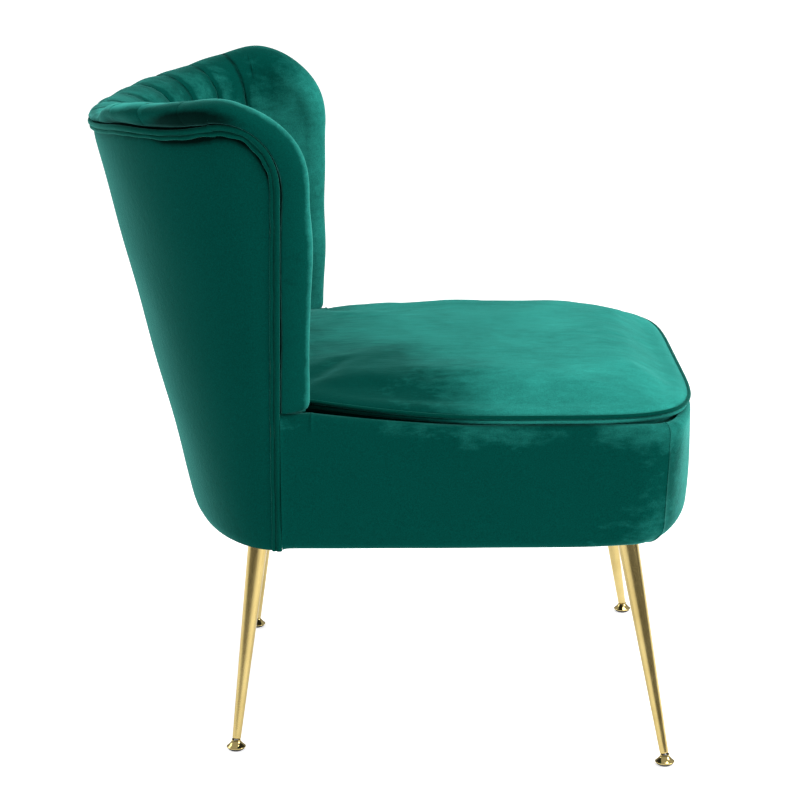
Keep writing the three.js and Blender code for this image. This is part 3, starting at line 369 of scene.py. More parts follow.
def roll_reach(along):
    """Height of the roll's outer side: it broadens a little to the corners, then at the wings."""
    a = np.abs(along)
    to_wing = ease((a - 1.1 * corner_top_run) / (corner_end - 1.1 * corner_top_run))
    to_corner = ease((a / corner_top_run - 0.53) / 0.4)
    more_at_wing = roll_reach_wing - roll_reach_rear - roll_reach_corner
    return roll_reach_rear + roll_reach_corner * to_corner + more_at_wing * to_wing


def middle_share(along):
    """1 in the middle of the back, 0 at the wing's foot, as a squared cosine."""
    return np.cos(math.pi / 2 * np.clip(np.abs(along) / foot_at, 0, 1)) ** 2


def right_stretch(along, start, fade_in, end, fade_out):
    """1 on a stretch of the edge's right half, with smooth steps at both of its ends."""
    return ease((-along - start) / fade_in) * ease((end + along) / fade_out)


def loose_share(along):
    """Where the roll hangs over the welt: between the rear and the corner of the right wing."""
    return right_stretch(along, 130 * mm, 90 * mm, 440 * mm, 110 * mm)


def slack_share(along):
    """Where the lower cord and the cover under it are slack: round the right wing's corner."""
    return right_stretch(along, 250 * mm, 70 * mm, 520 * mm, 80 * mm)


def hump(along, middle, fade):
    """1 at a place along the edge, 0 from a distance of fade on."""
    return ease(1 - np.abs(along - middle) / fade)


def fullness(along):
    """How much the stuffing lifts the roll past the edge: four humps, each with its height in
    millimetres. No two places are stuffed alike."""
    lift = 9 * hump(along, -255 * mm, 165 * mm) + 4.5 * hump(along, -195 * mm, 80 * mm)
    lift = lift - 1.5 * hump(along, -corner_top_run - 60 * mm, 90 * mm)
    lift = lift + 4 * hump(along, corner_top_run + 40 * mm, 130 * mm)
    return lift * mm


def root_share(along):
    """Where a thread of the skin ends at the foot, as a share of the wall's half length."""
    a = np.abs(along)
    rest = np.clip((a - channels_end) / (foot_at - channels_end), 0, 1)
    on_wing = fan_root + (wing_root - fan_root) * rest
    return np.where(a <= channels_end, fan_root * a / channels_end, on_wing)


def inner_inset(along):
    """How far under the edge the roll's inner side ends."""
    return roll_radius + shoulder_drop * middle_share(along)


def inner_path(along, t):
    """Run and height on the inner face: a Hermite curve from the roll to the foot, which leaves
    square to the edge and arrives heading straight from one to the other."""
    inset = inner_inset(along)
    run_a, z_a = edge(along, inset)
    run_b, z_b = edge(along, inset + 1 * mm)
    side = np.where(along < 0, -1.0, 1.0)
    root = side * root_share(along) * wall_length(padding_foot)
    gap_run, gap_z = root - run_a, padding_foot - z_a
    span = np.hypot(gap_run, gap_z)
    leave = 0.35 * span
    out_run, out_z = (run_b - run_a) / mm * leave, (z_b - z_a) / mm * leave
    h00, h10 = 2 * t**3 - 3 * t**2 + 1, t**3 - 2 * t**2 + t
    h01, h11 = -2 * t**3 + 3 * t**2, t**3 - t**2
    run = h00 * run_a + h10 * out_run + h01 * root + h11 * gap_run
    z = h00 * z_a + h10 * out_z + h01 * padding_foot + h11 * gap_z
    return run, z


def inner_depth(along, t):
    """Thickness of the padding on the inner face: more low down in the middle of the back."""
    return 2 * roll_radius + (shoulder_depth + lumbar * ease(t)) * middle_share(along)


print("channels of", round(channel_width / mm, 1), "mm at the edge")

# %% [markdown]
# The padding's section is made in three parts, from the outside in: a flap under the welt, the
# roll over the edge, and the inner face down to the seat. Each gives a skin, which is seen, and
# a lining, which closes the piece behind it.

# %% Section of the padding
roll_columns = 53
face_columns = 96
foot_rounding = 11 * mm
overhang = 8.5 * mm
core_radius = 9 * mm
flap_depth = np.array([[3, 1.4]]) * mm
flap_lining_depth = np.array([[4, 3]]) * mm


def roll_crown(deeper):
    """Height of the swell on the roll: slight on its outer side, fuller on its inner side."""
    return edge_crown + 0.4 * (channel_crown - edge_crown) * deeper


def roll_section(along, swell):
    """Skin and core of the roll: quarter ellipses over the edge, with the swell added to both
    half axes. The outer side curls in under itself, down to the welt's seam, is rounded off at
    the wing's foot, and is moved outward where the roll hangs over."""
    down = roll_reach(along)
    angle = np.linspace(-tuck_turn, math.pi, roll_columns)[None, :]
    puff = roll_crown(ease(angle / (math.pi / 2) - 1)) * swell
    outer, inner = np.maximum(np.cos(angle), 0), np.maximum(-np.cos(angle), 0)
    over, under = np.maximum(np.sin(angle), 0), np.maximum(-np.sin(angle), 0)
    down = np.where(angle < math.pi / 2, down, inner_inset(along))
    hang = loose_share(along)
    end = np.clip((np.abs(along) - foot_at + foot_rounding) / foot_rounding, 0, 1)
    rounding = 1 - np.sqrt(1 - end**2)
    inset = down - (down + puff + fullness(along) - 7 * mm * rounding) * over
    inset = inset + 2.5 * mm * under - 2 * mm * hang * outer
    out = (roll_radius + puff) * outer
    out = out + overhang * hang * np.sin(np.clip(2 * angle + 0.1, 0, math.pi))
    out = out - 3 * mm * rounding * outer
    inward = (roll_radius + puff + shoulder_depth * middle_share(along)) * inner
    skin = on_wall(along, inset, roll_radius - out + inward)
    core_depth = roll_radius - core_radius * np.cos(np.maximum(angle, 0))
    return skin, on_wall(along, down - (down - 5 * mm) * over, core_depth)


def face_section(along, swell):
    """Skin and lining of the inner face: the path from the roll to the foot, at the padding's
    depth plus the swell."""
    t = np.linspace(0, 1, face_columns + 1)[None, 1:]
    run, z = inner_path(along, t)
    crown = roll_crown(1) + (channel_crown - roll_crown(1)) * ease(t / 0.22)
    thinner = 1 - 0.35 * ease((t - 0.8) / 0.2)
    skin = wall(run, z, inner_depth(along, t) + crown * swell * thinner)
    behind_roll = (lining_depth - roll_radius - core_radius) * (1 - ease(t / 0.1))
    return skin, wall(run, z, lining_depth - behind_roll)


def padding(along, swell):
    """Skin and lining grids of a stretch of the padding: a flap of cloth under the welt, the
    roll over the edge and the inner face."""
    along, swell = along[:, None], swell[:, None]
    flap = roll_reach(along) + welt_drop + np.array([[2 * upper_cord + 3 * mm, upper_cord]])
    flap_skin = on_wall(along, flap, flap_depth)
    flap_lining = on_wall(along, flap, flap_lining_depth)
    roll, core = roll_section(along, swell)
    face, back = face_section(along, swell)
    return np.concatenate([flap_skin, roll, face], 1), np.concatenate([flap_lining, core, back], 1)


column_points = padding(np.zeros(1), np.ones(1))[0].shape[1]
print("padding:", column_points, "points from the welt to the foot")

# %% [markdown]
# Each material starts from what the real one is. A few helpers add a node with its settings
# and links, so that a finish reads as a short recipe.

# %% Material helpers
def linear(hex_code):
    """A colour socket's value from an sRGB hex code."""
    parts = [int(hex_code[i:i + 2], 16) / 255 for i in (1, 3, 5)]
    return [c / 12.92 if c <= 0.04045 else ((c + 0.055) / 1.055) ** 2.4 for c in parts] + [1]


def new_material(name):
    """A material with a Principled shader: its node tree, that shader and Object coordinates."""
    material = bpy.data.materials.new(name)
    material.use_nodes = True
    tree = material.node_tree
    place = add(tree, "ShaderNodeTexCoord").outputs["Object"]
    return material, tree, tree.nodes["Principled BSDF"], place


def add(tree, kind, settings=None, **inputs):
    """Adds a node. settings are its attributes, inputs its sockets, by name or as i0, i1, ...:
    each a value or another socket."""
    node = tree.nodes.new(kind)
    for key, value in (settings or {}).items():
        setattr(node, key, value)
    for key, value in inputs.items():
        numbered = key[0] == "i" and key[1:].isdigit()
        socket = node.inputs[int(key[1:]) if numbered else key.replace("_", " ")]
        if isinstance(value, bpy.types.NodeSocket):
            tree.links.new(value, socket)
        else:
            socket.default_value = value
    return node


def ramp(tree, factor, stops):
    """A colour ramp with the given (place, hex) stops."""
    node = add(tree, "ShaderNodeValToRGB", i0=factor)
    while len(node.color_ramp.elements) < len(stops):
        node.color_ramp.elements.new(0.5)
    for element, (place, colour) in zip(node.color_ramp.elements, stops):
        element.position = place
        element.color = linear(colour)
    return node.outputs["Color"]


def noise(tree, place, length, **settings):
    """Noise whose clouds are about a given length across."""
    node = add(tree, "ShaderNodeTexNoise", Vector=place, Scale=1 / length, **settings)
    return node.outputs["Fac"]


def sum_of(tree, value, times, more):
    """value * times + more."""
    node = add(tree, "ShaderNodeMath", {"operation": "MULTIPLY_ADD"}, i0=value, i1=times, i2=more)
    return node.outputs[0]


def bumped(tree, shader, height, strength, distance):
    """Small relief on the shader's normal."""
    bump = add(tree, "ShaderNodeBump", Height=height, Strength=strength, Distance=distance)
    tree.links.new(bump.outputs["Normal"], shader.inputs["Normal"])


# %% [markdown]
# Velvet is a short pile, so it looks dark where the eye looks straight into the pile and light
# where it looks along it. A sheen lobe on a dark green cloth does that. Slow noise turns the
# nap this way and that, as a hand does, and fine noise gives the pile its grain. An image of
# velvet could be laid on instead, but noise needs no unwrapping of the curved pieces.

# %% Velvet
def velvet(name, shade, dark, light, sheen):
    """Cotton velvet. Its attribute holds painted light and painted shade for each point. Slow
    noise of about 150 mm and ragged strokes of 14 mm add a random tone to it. The ramp goes from
    painted shade through dark to painted light. The pile's rows are 0.9 mm apart, drawn at
    1.3 mm to show."""
    material, tree, shader, place = new_material(name)
    streaks = add(tree, "ShaderNodeMapping", Vector=place, Scale=(1.6, 0.55, 1.6)).outputs[0]
    slow = noise(tree, place, 150 * mm, Detail=5.0, Roughness=0.62, Distortion=0.6)
    brushed = noise(tree, streaks, 14 * mm, Detail=5.0, Roughness=0.7)
    pile = noise(tree, place, 1.3 * mm, Detail=2.0)
    # The attribute read here is painted light and painted shade, set per point by each piece.
    painted_light_value = add(tree, "ShaderNodeAttribute", {"attribute_name": "painted_light_shade"}).outputs["Fac"]
    painted_light_plus_noise = sum_of(tree, painted_light_value, 0.8, sum_of(tree, brushed, 0.55, slow))
    painted_light_and_tone = add(tree, "ShaderNodeMapRange", Value=painted_light_plus_noise, i1=-0.2, i2=2.0).outputs[0]
    colour = ramp(tree, painted_light_and_tone, [(0.12, shade), (0.38, dark), (0.54, dark), (0.95, light)])
    blend = {"data_type": "RGBA", "blend_type": "MULTIPLY"}
    grain = add(tree, "ShaderNodeMix", blend, Factor=0.45)
    tree.links.new(colour, grain.inputs["A"])
    tree.links.new(ramp(tree, pile, [(0.3, "#8c8c8c"), (0.7, "#ffffff")]), grain.inputs["B"])
    tree.links.new(grain.outputs["Result"], shader.inputs["Base Color"])
    bumped(tree, shader, sum_of(tree, brushed, 2.5, pile), 0.35, 0.5 * mm)
    shader.inputs["Roughness"].default_value = 0.95
    shader.inputs["Specular IOR Level"].default_value = 0.02
    shader.inputs["Sheen Weight"].default_value = 0.55
    shader.inputs["Sheen Roughness"].default_value = 0.32
    shader.inputs["Sheen Tint"].default_value = linear(sheen)
    return material


# %% [markdown]
# The other finishes are plainer. Plated steel mirrors the room and is only a little rubbed.
# Pine and birch ply show rings and fibres. Webbing, felt and dust cloth show their threads, and
# rubber is matt. Each pattern's scale is a real size in millimetres.

# %% Metal, timber, cloth and rubber
def metal(name, colour, rough, spread, blemish):
    """Plated or plain metal: a colour that drifts a little, and roughness with faint rub marks."""
    material, tree, shader, place = new_material(name)
    stretched = add(tree, "ShaderNodeMapping", Vector=place, Scale=(1.0, 1.0, 0.12)).outputs[0]
    rub = noise(tree, stretched, 3 * mm, Detail=4.0, Roughness=0.65)
    drift = noise(tree, place, 40 * mm, Detail=2.0)
    drifting = ramp(tree, drift, [(0.3, colour), (0.75, blemish)])
    tree.links.new(drifting, shader.inputs["Base Color"])
    gloss = add(tree, "ShaderNodeMapRange", Value=rub, i3=rough - spread, i4=rough + spread)
    tree.links.new(gloss.outputs[0], shader.inputs["Roughness"])
    bumped(tree, shader, rub, 0.03, 0.05 * mm)
    shader.inputs["Metallic"].default_value = 1.0
    return material


def timber(name, dark, light, ring):
    """Sawn softwood or plywood: growth rings as a stretched, bent wave, and fine fibre grain."""
    material, tree, shader, place = new_material(name)
    stretched = add(tree, "ShaderNodeMapping", Vector=place, Scale=(0.15, 1.0, 1.0)).outputs[0]
    bent = {"Distortion": 4.0, "Detail": 3.0}
    rings = add(tree, "ShaderNodeTexWave", Vector=stretched, Scale=0.16 / ring, **bent)
    fibre = noise(tree, stretched, 0.8 * mm, Detail=3.0)
    mixed = sum_of(tree, fibre, 0.3, rings.outputs["Fac"])
    tree.links.new(ramp(tree, mixed, [(0.1, light), (1.0, dark)]), shader.inputs["Base Color"])
    bumped(tree, shader, fibre, 0.3, 0.2 * mm)
    shader.inputs["Roughness"].default_value = 0.75
    return material


def cloth(name, dark, light, thread):
    """Plain woven or bonded cloth: two crossed waves, a thread's width long, multiplied."""
    material, tree, shader, place = new_material(name)
    across, along = (
        add(tree, "ShaderNodeTexWave", {"bands_direction": way},
            Vector=place, Scale=0.32 / thread, Distortion=0.4).outputs["Fac"]
        for way in ("X", "Y")
    )
    weave = add(tree, "ShaderNodeMath", {"operation": "MULTIPLY"}, i0=across, i1=along).outputs[0]
    tree.links.new(ramp(tree, weave, [(0.1, dark), (0.8, light)]), shader.inputs["Base Color"])
    bumped(tree, shader, weave, 0.4, 0.2 * mm)
    shader.inputs["Roughness"].default_value = 0.95
    return material


def moulded(name, colour):
    """Moulded rubber: a nearly even colour with a fine matt grain of 0.6 mm."""
    material, tree, shader, place = new_material(name)
    grain = noise(tree, place, 0.6 * mm, Detail=2.0)
    even = ramp(tree, grain, [(0.3, colour), (0.8, "#26262a")])
    tree.links.new(even, shader.inputs["Base Color"])
    bumped(tree, shader, grain, 0.2, 0.1 * mm)
    shader.inputs["Roughness"].default_value = 0.6
    return material


finishes = {
    # Emerald pile, with painted light and painted shade set at its points.
    "velvet": velvet("emerald_velvet", "#001a16", "#00463e", "#32a497", "#74e4d8"),
    # The same velvet cut on the bias and pulled tight, so it shows less light.
    "velvet_trim": velvet("emerald_velvet_bias_cut", "#002721", "#00443b", "#0a6a5e", "#70e7d7"),
    # Warm, slightly soft reflections on the legs, sharper ones on the glides.
    "gold_metal": metal("brass_plated_steel_satin", "#c4b076", 0.16, 0.05, "#b39d62"),
    "gold_polished": metal("brass_plated_steel_polished", "#ccb87c", 0.07, 0.03, "#bda86c"),
    # Cool bright zinc on screws, stems and staples, dull oiled steel on the springs.
    "stem_steel": metal("zinc_plated_steel", "#a9adb2", 0.3, 0.06, "#9a9ea4"),
    "spring_steel": metal("oiled_spring_steel", "#5d6066", 0.35, 0.08, "#4b4d52"),
    # Growth rings 6 mm apart in the pine, 3 mm in the birch veneer.
    "wood": timber("sawn_pine", "#a9783f", "#d9b47c", 6 * mm),
    "plywood": timber("bent_birch_plywood", "#a87b4a", "#cfae7e", 3 * mm),
    # Threads of 1.5 mm, needled fibres of 2.5 mm, bonded dots of 1.8 mm.
    "webbing": cloth("elastic_webbing", "#141414", "#2f2f33", 1.5 * mm),
    "felt": cloth("needled_felt", "#b5ac9b", "#d9d2c2", 2.5 * mm),
    "black_cloth": cloth("bonded_polypropylene_cloth", "#0c0c0e", "#1f2023", 1.8 * mm),
    "rubber": moulded("moulded_black_rubber", "#0f0f10"),
}
print(len(finishes), "finishes")

# %% [markdown]
# Every new piece gets a finish, rides on a body of the frame and takes the place of the solids
# it stands for.

# %% Place a piece
def set_painted_light(made, shares):
    """Keeps, for each vertex, its painted light and shade: below 0 painted shade, above 0 painted
    light.
    """
    painted_light_and_tone = made.data.attributes.new("painted_light_shade", "FLOAT", "POINT")
    painted_light_and_tone.data.foreach_set("value", np.asarray(shares, float).ravel())


def place(made, slot, stands_for=(), body="chair", finish=None, fill=None):
    """Finish, body and replaced solids. fill, how full a padded piece is, is not used."""
    made.data.materials.clear()
    made.data.materials.append(finishes[finish or slot])
    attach(made, body)
    if stands_for:
        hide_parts(*stands_for)
    print(made.name, len(made.data.polygons), "faces of", finish or slot, "on", body)
    return made


# %% [markdown]
# Each piece of padding gets painted light and painted shade as numbers at its points, by its
# place on the edge: painted light on the crown and the inner face, a darker outside, and painted
# shade where the right wing's roll hangs over and in the crease under the roll.

# %% Relief and painted light and shade of the padding
def push_out(skin, amount):
    """Moves a grid of points along its own normals, found from its neighbours."""
    along_rows = np.gradient(skin, axis=0)
    along_columns = np.gradient(skin, axis=1)
    normal = np.cross(along_columns, along_rows)
    normal /= np.linalg.norm(normal, axis=-1)[..., None] + 1e-12
    return skin + normal * amount[..., None]


def pucker(points, distance, seed):
    """Small ripples that fade away from a seam: waves 14 mm long, 0.35 mm high at the seam."""
    return 0.35 * mm * waves(points, 14 * mm, seed) * np.exp(-distance / (8 * mm))


def seam_shade(skin, distance):
    """1 at a seam on the inner face, fading within 7 mm: painted shade along the seam."""
    down_the_face = np.linspace(0, 1, skin.shape[1])[None, :]
    return np.exp(-((distance / (7 * mm)) ** 2)) * (down_the_face > 0.2)


def padding_painted_light(skin, along):
    """Painted light and shade of the padding: painted light comes in where the roll turns inward,
    at an angle and with a strength that change along the edge. Painted shade lies on the roll's
    outer side over a stretch of the right half, and is darkest on the flap under the welt and on
    the first two columns above it."""
    along = along[:, None]
    column = np.arange(skin.shape[1])[None, :] - 2
    turned = -tuck_turn + (math.pi + tuck_turn) * column / (roll_columns - 1)
    dark_share = right_stretch(along, 205 * mm, 130 * mm, 440 * mm, 110 * mm)
    bright_share = hump(along, -205 * mm, 150 * mm)
    edge_turn = np.radians(35 - 17 * bright_share + 18 * dark_share)
    far_front = ease((along - corner_top_run - 50 * mm) / (90 * mm))
    to_far = ease((along + 80 * mm) / (260 * mm))
    near_light = 1.0 + 0.3 * bright_share
    crown_light = near_light * (1 - to_far) + (0.3 + 0.6 * far_front) * to_far
    low_share = ease((column - roll_columns) / (skin.shape[1] - roll_columns) / 0.45)
    inner_light = crown_light + (1 - crown_light) * low_share
    painted_light_and_tone = ease((turned - edge_turn) / math.radians(50)) * inner_light
    under_edge = ease((edge_turn - turned) / math.radians(35))
    shaded = np.maximum(dark_share, 0.6 * bright_share) * under_edge
    return painted_light_and_tone - 1.3 * shaded - 1.5 * (column < 2)


# %% [markdown]
# Each of the eleven channels is stuffed between two seams. Its swell across is a power of a
# sine, so that the cloth dives steeply at the seams. Small puckers run along both seams where
# the thread draws the cloth in, and soft waves keep the stuffing from looking poured. One wide
# panel with carved seams is another way. Here each channel is a piece, as each is a pocket.

# %% Back channels
def make_channel(order):
    """One channel: across, the columns crowd toward the seams as a cosine does."""
    width = middle_width if order == 0 else channel_width
    middle = np.sign(order) * (middle_width - channel_width) / 2 + order * channel_width
    across = (1 - np.cos(np.linspace(0, math.pi, 41))) / 2
    along = middle - width / 2 + seam_gap / 2 + (width - seam_gap) * across
    swell = np.sin(math.pi * across) ** 0.75
    skin, lining = padding(along, swell)
    distance = np.minimum(across, 1 - across)[:, None] * width
    soft = 1.1 * mm * waves(skin, 85 * mm, 30 + order) * swell[:, None]
    soft = soft + pucker(skin, distance, 60 + order)
    skin = push_out(skin, -soft * arch(skin.shape[1], 0.3)[None, :])
    number = order + channels_per_side + 1
    made = closed_panel(f"channel_{number}", skin, lining)
    # Painted shade along both seams and on one side of the channel, painted light on its other
    # side.
    side_shade = 0.3 * (across - 0.5)[:, None] * (1 if order <= 0 else -1)
    painted_light_and_tone = padding_painted_light(skin, along) - 0.75 * seam_shade(skin, distance) + side_shade
    set_painted_light(made, np.tile(painted_light_and_tone, (2, 1)))
    place(made, "velvet", [f"back_channel_{number}"], fill=0.8)


for order in range(-channels_per_side, channels_per_side + 1):
    make_channel(order)

# %% [markdown]
# The wing panels go on from the last seam without channels. The roll broadens as it turns down
# the wing's front, and its lower end tucks onto the base. The same padding makes them, with a
# weaker swell, so they meet the last channels without a step.

# %% Wing panels
def make_wing(side, name):
    """A wing panel, with a swell that dies away from the last seam to the wing's foot."""
    share = np.linspace(0, 1, 150) ** 1.15
    start = channels_end + seam_gap / 2
    along = start + (foot_at - start) * share
    swell = 0.45 * np.sin(math.pi * share**0.5) ** 0.7
    skin, lining = padding(side * along, swell)
    distance = (along - start)[:, None]
    soft = 1.6 * mm * waves(skin, 110 * mm, 5 + side)
    calm = arch(skin.shape[1], 0.3)[None, :] * ease(share / 0.05)[:, None]
    skin = push_out(skin, side * (soft * calm + pucker(skin, distance, 9)))
    made = closed_panel(name.replace("panel", "padding"), skin, lining)
    # Painted shade along the last seam, on top of the padding's painted light and shade.
    painted_light_and_tone = padding_painted_light(skin, side * along) - 0.6 * seam_shade(skin, distance)
    set_painted_light(made, np.tile(painted_light_and_tone, (2, 1)))
    place(made, "velvet", [name], fill=0.85)


make_wing(-1, "wing_panel_right")
make_wing(1, "wing_panel_left")

# %% [markdown]
# The outside cover is one tight panel over thin wadding. Its upper edge follows the welt, and
# its threads hang straight down from there. No column starts where the edge bends into the
# corner, because two would cross there.

# %% Outside cover
least_sag = 1.8
slack_sag = 4.2


def welt_inset(along):
    """Valley between the two cords: just past the end of the roll."""
    return roll_reach(along) + welt_drop + 2 * upper_cord


def cover_columns():
    """Places along the edge, runs and heights of the cover's columns, from right to left: they
    hang down from the welt, the last ones parallel to the wing's front."""
    top = np.linspace(0, corner_top_run, 90)[:-2]
    corner = np.linspace(corner_top_run, corner_end, 46)[3:]
    along = np.concatenate([top, corner])
    run, z_top = edge(along, welt_inset(along) + 2 * lower_cord + welt_gap)
    from_front = wall_length(z_top) - run
    corner_reach = from_front[len(top) - 1]
    z = base_bottom + (z_top[:, None] - base_bottom) * np.linspace(0, 1, 90)[None, :]
    fixed = wall_length(z) - from_front[:, None]
    share = (run / (wall_length(z_top) - corner_reach))[:, None]
    spread = (wall_length(z) - corner_reach) * share
    runs = np.where(from_front[:, None] <= corner_reach, fixed, spread)
    along, runs = (np.concatenate([-half[:0:-1], half]) for half in (along, runs))
    return along, runs, np.concatenate([z[:0:-1], z])


def make_cover():
    """The cover: drawn in under the welt and at its foot, with soft waves between."""
    along, runs, heights = cover_columns()
    slack = slack_share(along)[:, None]
    below_welt = heights.max(1)[:, None] - heights
    sink = (least_sag + slack_sag * slack) * mm * np.exp(-below_welt / (6 * mm))
    sink = sink + 2.2 * mm * np.exp(-(heights - base_bottom) / (4 * mm))
    skin = wall(runs, heights, sink)
    calm = arch(skin.shape[0], 0.3)[:, None] * arch(skin.shape[1], 0.3)[None, :]
    skin = push_out(skin, 1.0 * mm * waves(skin, 150 * mm, 77) * calm)
    made = closed_panel("outside_cover", skin, wall(runs, heights, 7 * mm))
    # Painted shade in the fold under the welt, deepest where the cover is slack.
    shade_under_welt = np.exp(-((below_welt / (5 * mm)) ** 2)) * (0.5 + 1.3 * slack)
    set_painted_light(made, np.tile(-shade_under_welt, (2, 1)))
    place(made, "velvet", ["outside_back_cover"], fill=0.9)


make_cover()

# %% [markdown]
# The double welt is two cords side by side in one strip of velvet cut on the bias. Its section
# is two circles that touch, carried along the edge. The lower cord waves a little where the
# cover under it is slack. Two curves with a bevel are another way. One section for both cords
# makes them one piece, joined where they touch.

# %% Double welt
def make_welt():
    """Sweep of the two-cord section: across the edge by inset, outward by negative depth."""
    end = corner_end + corner_centre - base_bottom
    half = np.concatenate([
        np.linspace(0, corner_top_run, 170),
        np.linspace(corner_top_run, corner_end, 110)[1:],
        np.linspace(corner_end, end, 190)[1:],
    ])
    along = np.concatenate([-half[:0:-1], half])[:, None]
    angle = np.linspace(-0.94 * math.pi, 0.94 * math.pi, 17)
    near = np.stack([-upper_cord * (1 + np.cos(angle)), upper_cord * np.sin(angle)])[:, ::-1]
    far = np.stack([lower_cord * (1 + np.cos(angle)), lower_cord * np.sin(angle)])
    across, up = np.concatenate([far, near], 1)
    slack = 0.4 + 0.75 * slack_share(along)
    wave = np.sin(along / (8 * mm)) * np.sin(along / (23 * mm) + 1)
    loose = 1.1 * mm * slack * (wave + 0.6 * np.sin(along / (37 * mm)))
    moved = np.where(across > 0, loose + 0.6 * mm * slack, 0.15 * loose)
    proud = 1.2 * mm * slack * (1 + np.sin(along / (13 * mm))) / 2
    depth = -np.maximum(up, -0.6 * lower_cord)[None, :] - np.where(across > 0, proud, 0)
    rings = on_wall(along, welt_inset(along) + across[None, :] + moved, depth)
    place(closed_tube("welt", rings), "velvet_trim", ["double_welt"])


make_welt()

# %% [markdown]
# The base is padded cloth over wooden rails. Its plan is a superellipse at the front, squarer
# at the top edge than at the bottom one, and its upper edge sweeps up to meet the wings. Three
# panels meet at seams just behind the front corners. A dart is sewn under each wing's foot. A
# bevelled box could stand for it, but a formula lets the plan change from the foot to the top.
# The photograph shows the side only, so the front's curve is a guess.

# %% Base panels
base_front_depth = 75.5 * mm
base_foot_power = 2.35
base_top_power = 3.6
sweep_length = 190 * mm
panel_rounding = 9 * mm
seam_set_back = 45 * mm
lining_step = 391 * mm


def base_curve(power):
    """Dense table of half the base's plan from the front's middle: length, place and normal."""
    t = np.linspace(0, math.pi / 2, 1500)
    x = half_width * np.sin(t) ** (2 / power)
    y = -(base_front - base_front_depth) - base_front_depth * np.cos(t).clip(0) ** (2 / power)
    nx = np.sin(t) ** (2 - 2 / power) / half_width
    ny = -np.cos(t).clip(0) ** (2 - 2 / power) / base_front_depth
    size = np.hypot(nx, ny)
    length = np.concatenate([[0], np.hypot(np.diff(x), np.diff(y)).cumsum()])
    return length, x, y, nx / size, ny / size


foot_curve, top_curve = base_curve(base_foot_power), base_curve(base_top_power)


def base_place(curve, run, depth):
    """Plan point at a run on one of the two curves, set in by depth along the normal."""
    length, x, y, nx, ny = curve
    a = np.abs(run)
    reach = np.minimum(a, foot_curve[0][-1]) * length[-1] / foot_curve[0][-1]
    beyond = np.maximum(a - foot_curve[0][-1], 0)
    px = np.interp(reach, length, x) - depth * np.interp(reach, length, nx)
    py = np.interp(reach, length, y) - depth * np.interp(reach, length, ny) + beyond
    return np.sign(run) * px, py


def between_curves(run, foot_depth, top_depth, share):
    """Plan point a share of the way from the foot curve to the top curve."""
    foot_x, foot_y = base_place(foot_curve, run, foot_depth)
    top_x, top_y = base_place(top_curve, run, top_depth)
    return foot_x + (top_x - foot_x) * share, foot_y + (top_y - foot_y) * share


def seat_lift(y):
    """How far the base's upper edge, and the cushion on it, has risen at a given y: a power
    curve that is level where it starts and steepest at the wing."""
    return base_sweep * np.clip(1 - (wing_front - y) / sweep_length, 0, 1) ** 1.6


def base_skin(run, z_share, rounding, swell):
    """Padded skin of the base: the plan turns from foot curve to top curve with height, and
    the top and bottom edges are rounded as quarter circles."""
    run = run[:, None]
    _, y = base_place(top_curve, run, 0)
    top = base_top + seat_lift(y)
    z = base_bottom + (top - base_bottom) * z_share[None, :]
    below = rounding + 15 * mm * ease((-y - 215 * mm) / (100 * mm))
    depth = 0
    for radius, reach in ((rounding, top - z), (below, z - base_bottom)):
        near = np.minimum(reach / radius, 1)
        depth = depth + radius * (1 - np.sqrt(np.clip(1 - (1 - near) ** 2, 0, 1)))
    depth = depth - swell * np.sin(math.pi * z_share[None, :]) ** 0.8
    x, y = between_curves(run, depth, depth, z_share)
    return np.stack([x, y, z + 0 * depth], -1)


def height_shares():
    """Shares of the height, crowded toward both rounded edges."""
    t = np.linspace(0, math.pi, 61)
    return 0.5 - 0.5 * np.cos(t) * (0.35 + 0.65 * np.abs(np.cos(t)) ** 0.5)


def dart(skin):
    """1 along the dart: a narrow groove in line with the wing's front, on the upper part."""
    from_dart = (skin[..., 1] - wing_front + 2 * mm) / (1.4 * mm)
    low_down = (wing_foot - 16 * mm - skin[..., 2]) / (6 * mm)
    return np.exp(-(from_dart**2)) * ease(1 - low_down)


def make_base_panel(name, runs, seed):
    """One panel of the base between two runs, drawn in at its seams and its dart. Its lining is
    set in over the rails, and less beside the deck, above a level step."""
    z_share = height_shares()
    skin = base_skin(runs, z_share, panel_rounding, 1.5 * mm)
    seam = np.minimum(np.abs(runs - runs[0]), np.abs(runs - runs[-1]))[:, None]
    sink = 1.5 * mm * np.exp(-seam / (3 * mm)) + 1.4 * mm * dart(skin)
    soft = 0.9 * mm * waves(skin, 120 * mm, seed) * arch(skin.shape[1], 0.4)[None, :]
    skin = push_out(skin, (1 if runs[-1] > runs[0] else -1) * (soft - sink))
    z = base_skin(runs, z_share, panel_rounding, 0)[..., 2]
    beside_deck = np.where(z > lining_step, 1.0, 0.0)
    x, y = between_curves(runs[:, None] + 0 * z, 26 * mm, 12 * mm, beside_deck)
    made = closed_panel(name.replace("panel", "cover"), skin, np.stack([x, y, z], -1))
    # Painted light toward the front corner and along the top edge.
    toward_front = ease((-skin[..., 1] - 195 * mm) / (90 * mm))
    toward_top = ease((z_share[None, :] - 0.72) / 0.25)
    set_painted_light(made, np.tile(0.42 * toward_front + 0.3 * toward_top - 0.04, (2, 1)))
    place(made, "velvet", [name], fill=0.9)


def run_at(y):
    """Run on the foot curve at which the base's outline comes back to a given y."""
    length, _, curve_y_values, _, _ = foot_curve
    if y > curve_y_values[-1]:
        return length[-1] + y - curve_y_values[-1]
    return float(np.interp(y, curve_y_values, length))


